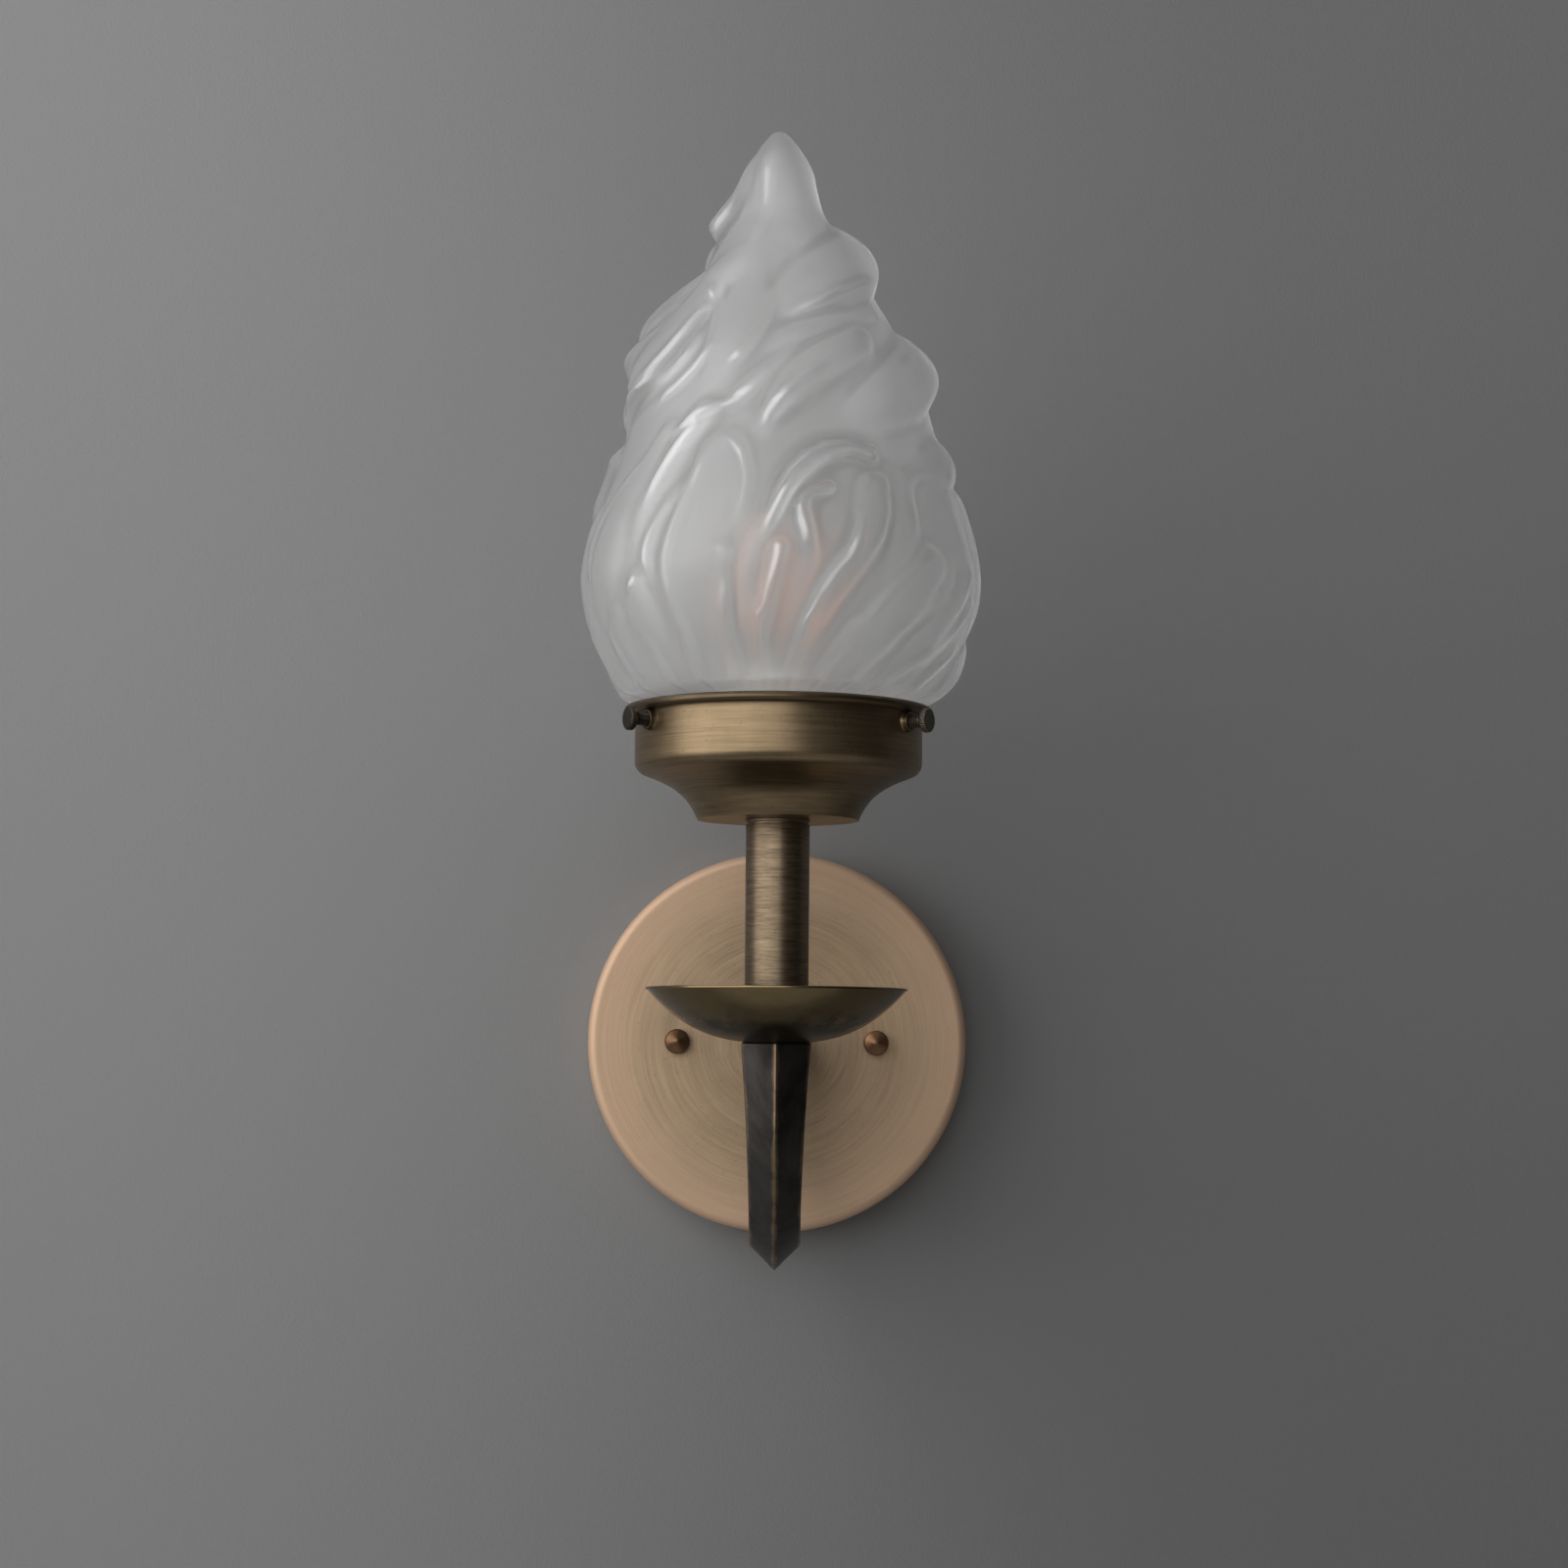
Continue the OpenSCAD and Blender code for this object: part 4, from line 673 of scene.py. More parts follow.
# Each finish: the record's slot for new pieces, and what makes it from its name and the user's colours
FINISHES = {
    "plate_tan": ("plate_metal", plate_finish),
    "arm_patina": ("dark_metal", lambda n, c: cast_patina(n, c.arm, tuple(c.worn))),
    "dish_olive": ("dish_metal", lambda n, c: brushed(n, c.dish, 0.32, 0.5, upright=False, worn=shade(c.dish, 4.4))),
    "tube_bronze": ("tube_metal", lambda n, c: brushed(n, c.tube, 0.38, 0.3, tone=(0.52, 1.3),
                                                       bright=shade(c.tube, 1.1))),
    "cup_bronze": ("cup_metal", cup_finish),
    "nut_copper": ("nut_metal", lambda n, c: cast_patina(n, c.nut, shade(c.nut, 1.8), 0.42)),
    "screw_dark": ("screw_metal", lambda n, c: cast_patina(n, c.screw, shade(c.worn, 0.7), 0.38)),
    "brass_raw": ("raw_brass", lambda n, c: plain_metal(n, c.brass, 0.32, 0.6)),
    "brass_bright": ("contact_metal", lambda n, c: plain_metal(n, shade(c.brass, 1.12), 0.22, 0.3)),
    "zinc_plate": ("zinc_steel", lambda n, c: plain_metal(n, c.zinc, 0.36, 0.4)),
    "green_plate": ("green_steel", lambda n, c: plain_metal(n, (0.04, 0.3, 0.1), 0.38, 0.5, 0.6)),
    "glaze_white": ("porcelain", lambda n, c: moulded(n, c.porcelain, 0.25, 300.0, 0.00004, 0.05, 0.6)),
    "wire_black": ("wire_black", lambda n, c: moulded(n, (0.02, 0.02, 0.022), 0.38)),
    "wire_white": ("wire_white", lambda n, c: moulded(n, (0.74, 0.73, 0.69), 0.4)),
    "wire_green": ("wire_green", lambda n, c: moulded(n, (0.03, 0.26, 0.07), 0.38)),
    "connector_orange": ("connector_plastic", lambda n, c: moulded(n, (0.72, 0.2, 0.02), 0.45, 700.0, 0.00005)),
    "bulb_cap": ("bulb_cap_metal", lambda n, c: plain_metal(n, (0.74, 0.74, 0.73), 0.24, 0.35)),
    "bulb_black": ("bulb_black", lambda n, c: moulded(n, (0.015, 0.015, 0.02), 0.12, 200.0, 0.00002, 0.3)),
    "bulb_clear": ("clear_glass", lambda n, c: clear_glass(n)),
    # the filaments get a painted glow, though the bulb is not lit
    "filament_coat": ("filament", lambda n, c: moulded(n, c.filament, 0.6, 2500.0, 0.00006, 0.1, painted_glow=0.75)),
    "frosted_flame": ("frosted_glass", frosted_flame),
    "tip_soft": (None, lambda n, c: moulded(n, (0.7, 0.66, 0.58), 0.65, 1600.0, 0.00005)),
}


def finish(name):
    """The material of that name, made when first asked for."""
    if name not in bpy.data.materials:
        FINISHES[name][1](name, bpy.context.scene.sconce_finishes)
    return bpy.data.materials[name]


# ---------- pieces ----------


class SCONCE_OT_wall_plate(bpy.types.Operator):
    """Build the spun wall plate with its rolled edge and its two turned cap nuts"""

    bl_idname = "sconce.wall_plate"
    bl_label = "Wall plate"

    def execute(self, context):
        s = sizes()
        r, depth, edge, wall = s["plate_diameter"] / 2, s["plate_depth"], s["plate_edge"], 1.0
        corner = (r - edge, depth - edge)
        outline = line((HOLE_R, depth), (r - edge, depth), 24) + arc(corner, edge, 90, 0, 20)[1:]
        outline += line((r, depth - edge), (r, 0.3), 8, 1) + [(r - 0.1, 0.0), (r - wall, 0.0)]
        outline += line((r - wall, 0.4), (r - wall, depth - edge), 6)
        outline += arc(corner, edge - wall, 0, 90, 12)[1:] + [(HOLE_R, depth - wall)]
        add_turned("wall_plate", outline[::-1], 2 * context.scene.sconce_stage.around, OFF_WALL, "plate_tan",
                   "canopy")
        nut = [(0.0, 3.55), (2.05, 3.5), (2.13, 3.4), (2.13, 0.1)]
        nut += rounded([(2.2, 0), (4.35, 0, 0.15), (4.35, 3.4, 0.2), (3.98, 4.05, 0.25), (3.55, 4.25, 0.2),
                        (0.9, 5.95, 0.5), (0.12, 6.19, 0.05)], 4) + [(0.0, 6.2)]
        nuts = merged(*[moved(turned(nut, 96), off_wall(x, depth)) for x in (-NUT_X, NUT_X)])
        add_piece("cap_nut_pair", nuts, "nut_copper", "cap_nuts", edge=ease(3.2, 3.9, -nuts[0][:, 1] - depth) * 0.6)
        return {"FINISHED"}


def arm_stations(n):
    """Stations along the arm from the plate to the dish: distance, y, z and direction in radians."""
    parts = [("run", 3.0), ("turn", 20.0, 90.0), ("run", 5.0), ("turn", -41.0, 180.0), ("run", 25.0)]
    total = 3.0 + 10 * math.pi + 5.0 + 41 * math.pi + 25.0
    y, z, way, s, out = -27.0, 0.0, math.pi, 0.0, []
    for kind, size, *angle in parts:
        if kind == "run":
            steps = max(2, int(n * size / total))
            for i in range(steps):
                d = size * i / steps
                out.append((s + d, y + math.cos(way) * d, z + math.sin(way) * d, way))
            y, z, s = y + math.cos(way) * size, z + math.sin(way) * size, s + size
        else:
            angle, side, radius = math.radians(angle[0]), math.copysign(1, size), abs(size)
            steps = int(n * radius * angle / total)
            cy, cz = y - side * math.sin(way) * radius, z + side * math.cos(way) * radius
            for i in range(steps):
                a = way + side * angle * i / steps
                out.append((s + radius * angle * i / steps, cy + side * math.sin(a) * radius,
                            cz - side * math.cos(a) * radius, a))
            way += side * angle
            y, z, s = cy + side * math.sin(way) * radius, cz - side * math.cos(way) * radius, s + radius * angle
    return out + [(s, y, z, way)]


def arm_half(s, total):
    """Half the diagonal of the arm's section at a distance along it."""
    near_top = np.minimum(1, (total - s) / 60.0)
    top = 11.3 + (8.5 - 11.3) * (1 - (1 - near_top) ** 1.8)
    return top + 2.0 * (1 - ease(0, 23, s)) - 0.7 * (1 - ease(0, 0.8, total - s))


def arm_section(half, flat):
    """One diamond section of the arm with a flat along each corner, and how worn each point is."""
    section, worn = [], []
    for k in range(4):
        u, w = [np.array([math.cos(a), math.sin(a)]) for a in (k * math.pi / 2, (k + 1) * math.pi / 2)]
        v = np.array([-u[1], u[0]])
        for q in (-1, -0.5, 0, 0.5, 1):
            section.append(u * (half - flat / 2 + flat * 0.28 * (1 - q * q)) + v * flat / 2 * q)
            worn.append(1.0)
        a, b = section[-1], w * (half - flat / 2) - np.array([-w[1], w[0]]) * flat / 2
        hollow = (u + w) / math.sqrt(2) * 0.12
        for t in (0.04, 0.1, 0.2, 0.35, 0.5, 0.65, 0.8, 0.9, 0.96):
            section.append(a + (b - a) * t - hollow * (4 * t * (1 - t)))
            worn.append(max(0.0, 1 - min(t, 1 - t) * half * 1.41 / 2.6))
    return section, worn


class SCONCE_OT_arm(bpy.types.Operator):
    """Build the curved square arm, set on its corner, and the collar where it leaves the plate"""

    bl_idname = "sconce.arm"
    bl_label = "Arm and collar"

    def execute(self, context):
        stations = arm_stations(180)
        total, y, z, way = stations[-1]
        # the last millimetre is eased over a few close stations
        stations = [t for t in stations if t[0] < total - 0.9]
        stations += [(total - back, y, z - back, way) for back in (0.8, 0.6, 0.4, 0.2, 0.0)]
        points, worn = [], []
        for s, y, z, way in stations:
            section, marks = arm_section(float(arm_half(s, total)), sizes()["arm_corner"])
            points += [(x, y - n * math.sin(way), z + n * math.cos(way)) for x, n in section]
            worn += marks
        rings, around = len(stations), len(section)
        faces = strips(rings, around, False) + end_faces(rings, around)
        add_piece("arm_body", (np.array(points), faces), "arm_patina", "arm", sharp=28.0, edge=worn)
        outline = rounded([(HOLE_R, 22), (11.5, 22, 0.1), (11.5, 24.4, 0.35), (10.7, 26.6, 0.6), (9.9, 27, 0.3),
                           (HOLE_R, 27)], 6)
        shell = moved(turned(outline, 144), OFF_WALL)
        x, y, z = shell[0].T
        rim = np.clip(1 - np.abs(-y - 25.6) / 1.6, 0, 1) * (np.hypot(x, z) > 9)
        add_piece("collar", shell, "arm_patina", "arm_collar", edge=rim * 0.8)
        return {"FINISHED"}


DISH_FOOT_R = 11.5
DISH_WALL = 1.1


def dish_rise(r, s):
    """Height of the dish's underside at a radius, before it is stretched to its full height."""
    rise, foot = [s["dish_height"] * (2 * q / s["dish_diameter"]) ** 2.9 for q in (r, DISH_FOOT_R)]
    return max(0.0, rise - foot)


class SCONCE_OT_dish(bpy.types.Operator):
    """Build the dish under the candle tube"""

    bl_idname = "sconce.dish"
    bl_label = "Dish"

    def execute(self, context):
        s = sizes()
        r, high = s["dish_diameter"] / 2, s["dish_height"]
        gain = high - dish_rise(r, s)
        under = [(q, dish_rise(q, s) + gain * (q - DISH_FOOT_R) / (r - 11.8))
                 for q in np.linspace(DISH_FOOT_R, r - 0.3, 56)]
        inside = [(q, max(DISH_WALL, z)) for q, z in beside(under, DISH_WALL) if q < r - 1.35][::-1]
        rim = [(r - 0.06, high - 0.6), (r, high - 0.25), (r - 0.08, high), (r - 0.45, high + 0.16),
               (r - 0.9, high + 0.14)]
        outline = [(SLIP_R, 0.0)] + under + rim + inside + [(SLIP_R, DISH_WALL)]
        shell = moved(turned(outline, context.scene.sconce_stage.around), ON_AXIS)
        radius = np.hypot(shell[0][:, 0], shell[0][:, 1] + REACH)
        # the dish's mark rises from foot to rim: golden wear towards the rim, and painted shade darkening the
        # underside towards the foot
        add_piece("dish", shell, "dish_olive", "bobeche", edge=0.1 + 0.85 * ease(14, 40, radius))
        return {"FINISHED"}


class SCONCE_OT_tube(bpy.types.Operator):
    """Build the candle tube and the ring at its top"""

    bl_idname = "sconce.tube"
    bl_label = "Candle tube"

    def execute(self, context):
        r = sizes()["tube_diameter"] / 2
        tube = rounded([(r - 0.8, 1.1), (r, 1.1, 0.15), (r, 30), (r, 50), (r, 68.4, 0.2), (r - 0.8, 68.4, 0.1)], 4)
        add_turned("tube", tube, 144, ON_AXIS, "tube_bronze", "candle_tube")
        ring = rounded([(SLIP_R, 65.4), (r - 0.95, 65.4, 0.2), (r - 0.95, 68.35), (r - 0.6, 68.45), (r - 0.6, 69.0),
                        (r, 69.15, 0.15), (r, CUP_Z, 0.15), (SLIP_R, CUP_Z)], 4)
        add_turned("tube_ring", ring, 144, ON_AXIS, "tube_bronze", "neck_ring")
        return {"FINISHED"}


class SCONCE_OT_cup(bpy.types.Operator):
    """Build the spun cup that holds the glass, and its three tapped bosses"""

    bl_idname = "sconce.cup"
    bl_label = "Cup"

    def execute(self, context):
        s = sizes()
        low, high, r = CUP_Z, CUP_Z + s["cup_height"], s["cup_diameter"] / 2
        wall, foot, shoulder, bend = 0.9, 25.6, np.array((r - 4.0, CUP_SHOULDER_Z)), 4.0
        end = math.radians(70)
        stop = shoulder + bend * np.array((math.cos(end), -math.sin(end)))
        outside = bezier(np.array((foot, low)), np.array((foot + 2.9, low + 7.6)),
                         stop - 9.9 * np.array((math.sin(end), math.cos(end))), stop, 48)
        outside += arc(shoulder, bend, -70, 0, 18)[1:]
        outside += line((r, CUP_SHOULDER_Z), (r, high - s["lip_thickness"]), 14, 1)
        half = s["lip_thickness"] / 2
        lip = arc((r + 3.5 - half, high - half), half, -90, 90, 20)
        inside = [p for p in beside(outside[:-1], wall) if p[1] > low + wall + 0.3][::-1]
        outline = [(SLIP_R, low)] + outside + lip + [(r - wall + 0.15, high), (r - wall, high - 0.15)]
        outline += inside + [(inside[-1][0] - 0.6, low + wall), (SLIP_R, low + wall)]
        hole = turned([(0.0, 42.5), (2.8, 42.5), (2.8, 46.5), (0.0, 46.5)], 64)
        holes = merged(*[moved(hole, at_screw(azimuth)) for azimuth in SCREW_AZIMUTHS.values()])
        shell = bored(moved(turned(outline, context.scene.sconce_stage.around * 2), ON_AXIS), holes)
        x, y, z = shell[0].T
        radius = np.hypot(x, y + REACH)
        at_foot = (1 - ease(low + 0.2, low + 1.6, z)) * (radius > foot - 0.5)
        add_piece("cup", shell, "cup_bronze", "shade_holder",
                  edge=0.4 * ease(r + 2.2, r + 3.4, radius) + 0.4 * at_foot)
        boss = turned(rounded([(2.15, 43.8), (2.75, 43.8, 0.1), (2.75, 44.6), (3.7, 44.7), (3.3, 45.9, 0.5),
                               (3.25, 47.35, 0.3), (2.4, 47.35, 0.15), (2.15, 47.0)], 5), 96)
        bosses = merged(*[moved(boss, at_screw(azimuth)) for azimuth in SCREW_AZIMUTHS.values()])
        add_piece("boss_set", bosses, "cup_bronze", "screw_bosses", edge=np.zeros(len(bosses[0])))
        return {"FINISHED"}


class SCONCE_OT_thumb_screws(bpy.types.Operator):
    """Build the three thumb screws with cut threads and knurled heads"""

    bl_idname = "sconce.thumb_screws"
    bl_label = "Thumb screws"

    def execute(self, context):
        head = sizes()["screw_head"] / 2
        start, stop = 42.86, 51.65
        outline = [(0.0, start), (1.7, start), (1.95, start + 0.15)]
        outline += threaded(start + 0.35, stop - 0.9, SCREW_PITCH, SCREW_R)
        outline += [(SCREW_R, stop - 0.5), (SCREW_R, stop - 0.2), (2.3, stop), (head - 0.55, stop),
                    (head - 0.35, stop + 0.06)] + line((head, stop + 0.38), (head, stop + 1.82), 8)
        outline += [(head - 0.35, stop + 2.14), (head - 0.6, stop + 2.2), (head - 1.1, stop + 2.16),
                    (0.0, stop + 2.12)]
        cut = screw_thread(SCREW_PITCH, 0.42, start + 0.3, stop - 0.8)

        def relief(angle, h, r):
            knurl = -0.16 * (0.5 + 0.5 * np.cos(30 * angle)) * (r > head - 0.4) * (h > stop)
            return cut(angle, h, r) + knurl
        screw = turned(outline, 240, relief)
        rim = ease(head - 0.14, head - 0.01, np.hypot(screw[0][:, 0], screw[0][:, 1])) * 0.7
        for side, azimuth in SCREW_AZIMUTHS.items():
            add_piece(f"knurled_screw_{side}", moved(screw, at_screw(azimuth)), "screw_dark", f"thumb_screw_{side}",
                      body=f"screw_{side}", sharp=50.0, edge=rim)
            dress("tip_soft", f"screw_tip_{side}")
        return {"FINISHED"}


# Plain body of the flame as height above the glass neck and radius
FLAME_BODY = np.array([
    (4.2, 49.8), (8.2, 52.2), (15.2, 55.2), (25.2, 58.6), (35.2, 60.6), (43.2, 60.8), (53.2, 59), (63.2, 55.8),
    (73.2, 52), (83.2, 49), (93.2, 46.6), (103.2, 44), (113.2, 39.5), (123.2, 33.5), (133.2, 27.5), (143.2, 22.5),
    (151.2, 18.2), (158.2, 13.4), (165.2, 11.3), (173.2, 9.7), (179.2, 7.2), (183.7, 4.4), (186.2, 2), (186.8, 0)])
FLAME_SWIRL = np.array([(0, 0), (20, 0), (45, 4), (75, 22), (100, 48), (125, 72), (150, 92), (187, 100)], float)
# Each tongue of the flame: four points of its middle line as azimuth and height above the neck, half width,
# lift, side of its crisp edge, hollow, taper, width at its foot, fall of the lift, and azimuth share of its
# copy on the back
TONGUES = [
    ((18, 131), (26, 149), (20, 167), (8, 183), 13, 3.2, -0.6, 0.1, 0, 0.8, 0.3, 0.85),
    ((-108, 149), (-97, 155), (-84, 162), (-62, 176), 6.5, 9.5, 0.2, 0, 0.4, 0.9, 0.7, 0),
    ((-36, 91), (-23, 104), (-20, 118), (-27, 135), 7.5, 5.2, -0.5, 0.3, 0, 0.5, 0.2, 0.85),
    ((-12, 113), (16, 126), (46, 136), (86, 146), 11.5, 9.6, -0.3, 0.1, 0, 0.6, 0, 0.62),
    ((-18, 99), (6, 111), (28, 118), (52, 123), 6, 4.8, 0.2, 0, 0.3, 0.6, 0.3, 0.85),
    ((-8, 73), (-1, 88), (12, 100), (31, 110), 7.5, 6.3, -0.1, 0.1, 0, 0.45, 0, 0.85),
    ((16, 79), (38, 90), (62, 101), (91, 112), 11, 9, -0.5, 0.1, 0, 0.5, 0, 0.62),
    ((-28, 83), (-16, 90), (-5, 98), (8, 109), 5, 3.8, 0, 0, 0.4, 0.6, 0.3, 0.85),
    ((-96, 87), (-80, 102), (-64, 116), (-42, 134), 13, 7.2, 0.2, 0.1, 0.2, 0.6, 0.2, 0.85),
    ((-116, 105), (-99, 119), (-80, 129), (-52, 135), 9.5, 12.5, -0.6, 0.05, 0.3, 0.7, 0.7, 0),
    ((-112, 97), (-96, 108), (-78, 117), (-54, 127), 5.5, 9.8, 0.3, 0, 0.5, 0.7, 0.6, 0),
    ((-92, 81), (-72, 95), (-56, 105), (-42, 121), 5.5, 7.6, 0.6, 0.1, 0.4, 0.6, 0.2, 0.85),
    ((-112, 85), (-102, 93), (-92, 101), (-76, 111), 7.5, 6, 0, 0, 0.5, 0.7, 0.4, 0),
    ((-46, 31), (-45, 52), (-38, 71), (-28, 86), 7.5, 4.6, 0.2, 0.1, 0.3, 0.6, 0, 0.85),
    ((-25, 1), (-27, 29), (-21, 53), (-19, 72), 8.8, 4.6, -0.7, 0.45, 0, 0.8, 0, 0.85),
    ((-64, 7), (-62, 37), (-54, 58), (-43, 81), 11, 5, -0.6, 0.3, 0.6, 0.7, 0, 0.85),
    ((-122, 49), (-110, 61), (-100, 70), (-88, 79), 7.5, 8.5, 0, 0, 0.3, 0.7, 0.4, 0),
    ((-38, 1), (-41, 17), (-44, 27), (-45, 34), 5.5, 3.6, -0.7, 0.2, 0.2, 0.8, 0, 0.85),
    ((-52, -1), (-56, 10), (-58, 19), (-57, 25), 6, 3.2, -0.7, 0.2, 0.2, 0.8, 0, 0.85),
    ((-72, -1), (-80, 19), (-84, 41), (-81, 58), 8, 3.6, -0.3, 0.2, 0.3, 0.8, 0, 0),
    ((-17, -1), (-18, 14), (-18, 28), (-17, 41), 4.8, 3.8, 0, 0.2, 0, 0.9, 0, 0.85),
    ((-8, -1), (-9, 17), (-9, 35), (-4, 51), 4.6, 2.6, 0, 0.1, 0.4, 0.9, 0, 0.85),
    ((-7, 3), (-5, 19), (-2, 32), (0, 42), 4, 3.6, 0, 0, 0.1, 0.8, 0, 0.85),
    ((-9, 35), (0, 56), (11, 71), (30, 73), 4.6, 6.8, 0.8, 0, 0.3, 0.5, 0.1, 0.85),
    ((7, 29), (8, 44), (6, 55), (14, 61), 3.6, 5.6, 0.6, 0, 0.3, 0.7, 0.1, 0.85),
    ((4, -3), (12, 25), (24, 44), (30, 63), 5.2, 6, -0.5, 0.3, 0, 0.7, 0, 0.85),
    ((20, 7), (33, 28), (38, 47), (38, 67), 7, 3.4, 0, 0.2, 0.3, 0.8, 0, 0.85),
    ((15, -1), (27, 15), (39, 29), (47, 39), 8, 6, 0.6, 0.25, 0, 0.6, 0, 0.85),
    ((34, -1), (46, 13), (57, 26), (66, 39), 7, 5, 0.5, 0.1, 0.1, 0.7, 0, 0.85),
    ((68, 3), (67, 29), (61, 47), (57, 59), 12, 3.9, -0.7, 0.2, 0, 0.8, 0, 0.85),
    ((44, 61), (60, 71), (78, 77), (102, 79), 8.5, 6, 0, 0.1, 0, 0.6, 0, 0),
    ((78, -3), (88, 8), (97, 17), (106, 23), 6.5, 4.4, 0, 0, 0.2, 0.8, 0, 0),
    ((100, 11), (98, 29), (93, 48), (87, 66), 8.5, 4.5, 0, 0.1, 0.3, 0.9, 0, 0)]
# Fine crests over the tongues: four points as above, half width, height, crisp side
CRESTS = [
    ((-30, 17), (-34, 39), (-29, 59), (-25, 81), 2.6, 1.7, -0.3),
    ((-13, 47), (-10, 59), (-11, 70), (-20, 81), 2.2, 1.2, 0.3),
    ((-37, 31), (-41, 42), (-37, 53), (-30, 67), 2.6, 1.7, 0),
    ((-43, 55), (-39, 67), (-34, 77), (-24, 85), 2.2, 1.5, 0),
    ((-42, 77), (-34, 83), (-26, 87), (-14, 88), 2.2, 1.8, 0),
    ((-34, 99), (-30, 111), (-35, 124), (-44, 134), 2.6, 1.6, 0),
    ((-23, 98), (-14, 106), (-8, 117), (-11, 131), 2.4, 1.2, 0),
    ((-31, 141), (-20, 152), (-19, 165), (-17, 181), 2.2, 1.1, 0),
    ((-72, 33), (-71, 52), (-60, 65), (-46, 79), 2.6, 1.6, 0),
    ((-96, 108), (-86, 116), (-74, 124), (-60, 127), 2.4, 1.5, 0),
    ((-74, 91), (-57, 98), (-44, 104), (-38, 117), 2.4, 1.6, 0.2),
    ((-58, 89), (-46, 95), (-36, 101), (-31, 111), 2.2, 1.6, 0.2),
    ((-2, 116), (14, 122), (32, 129), (56, 136), 2.6, 1.4, 0.3),
    ((8, 117), (22, 124), (40, 130), (62, 135), 1.8, 0.7, 0),
    ((-7, 76), (-2, 87), (7, 95), (19, 103), 2.8, 1.8, 0),
    ((-4, 47), (2, 61), (10, 70), (27, 74), 2.4, 1.2, 0.2),
    ((17, 33), (22, 47), (24, 59), (29, 67), 2, 1.3, 0),
    ((24, 37), (29, 49), (31, 58), (32, 66), 1.8, 0.8, 0),
    ((26, 11), (42, 22), (54, 33), (53, 45), 2.6, 1.3, 0.2),
    ((22, 17), (33, 30), (42, 40), (48, 46), 2, 0.7, 0),
    ((43, 45), (42, 58), (46, 68), (60, 70), 2.4, 1.2, 0),
    ((44, 101), (56, 109), (72, 116), (88, 119), 2.6, 1, 0),
    ((46, 6), (58, 16), (68, 26), (76, 37), 2.6, 1.2, 0),
    ((-44, 17), (-49, 25), (-48, 31), (-44, 37), 2.2, 1.2, 0),
    ((-68, -7), (-73, 5), (-77, 16), (-79, 28), 2.4, 1.2, 0.2),
    ((-54, -7), (-57, 5), (-61, 16), (-64, 27), 2.4, 1.2, 0.2),
    ((-38, -7), (-40, 4), (-43, 12), (-46, 20), 2.2, 1.2, 0.2),
    ((-26, -7), (-27, 5), (-29, 15), (-31, 24), 2.2, 1.2, 0.2),
    ((-15, -7), (-14, 8), (-15, 22), (-14, 38), 2.2, 1.1, 0.2),
    ((-6, -7), (-5, 6), (-6, 18), (-8, 30), 2, 0.9, 0.2),
    ((2, -7), (4, 6), (8, 17), (10, 28), 2.2, 1.1, 0.2),
    ((10, -7), (14, 5), (20, 15), (25, 24), 2.2, 1.2, 0.2),
    ((19, -7), (25, 4), (33, 12), (41, 19), 2.2, 1.2, 0.2),
    ((30, -7), (38, 4), (47, 11), (57, 18), 2.4, 1.2, 0.2),
    ((48, -7), (57, 6), (66, 13), (75, 20), 2.4, 1.2, 0.2),
    ((64, -7), (73, 6), (82, 15), (89, 24), 2.4, 1.2, 0.2)]
FORM_H, FORM_D = 186.8, 121.6        # height over the neck and width that the tables are for
NECK_R, NECK_LOW, NECK_TOP = 41.275, 84.82, 104.82
SHOULDER_H = 4.2                     # over which the neck widens into the flame
CREST_BACK_SHARE = 0.85
OVERLAP = 1.6                        # how softly tongues run into each other
PATH_STEPS = 8


def form_radius(h):
    """Plain radius of the flame at a height above the neck."""
    x, y = FLAME_BODY[:, 0], FLAME_BODY[:, 1]
    h = np.clip(h, x[0], x[-1])
    slope = np.concatenate([[(y[1] - y[0]) / (x[1] - x[0])], (y[2:] - y[:-2]) / (x[2:] - x[:-2]),
                            [(y[-1] - y[-2]) / (x[-1] - x[-2])]])
    i = np.clip(np.searchsorted(x, h, side="right") - 1, 0, len(x) - 2)
    d = x[i + 1] - x[i]
    t = (h - x[i]) / d
    return ((2 * t**3 - 3 * t * t + 1) * y[i] + (t**3 - 2 * t * t + t) * d * slope[i]
            + (3 * t * t - 2 * t**3) * y[i + 1] + (t**3 - t * t) * d * slope[i + 1])


def lean(h):
    """How far the flame's tip leans to the left."""
    return -1.3 * ease(130, FORM_H, h)


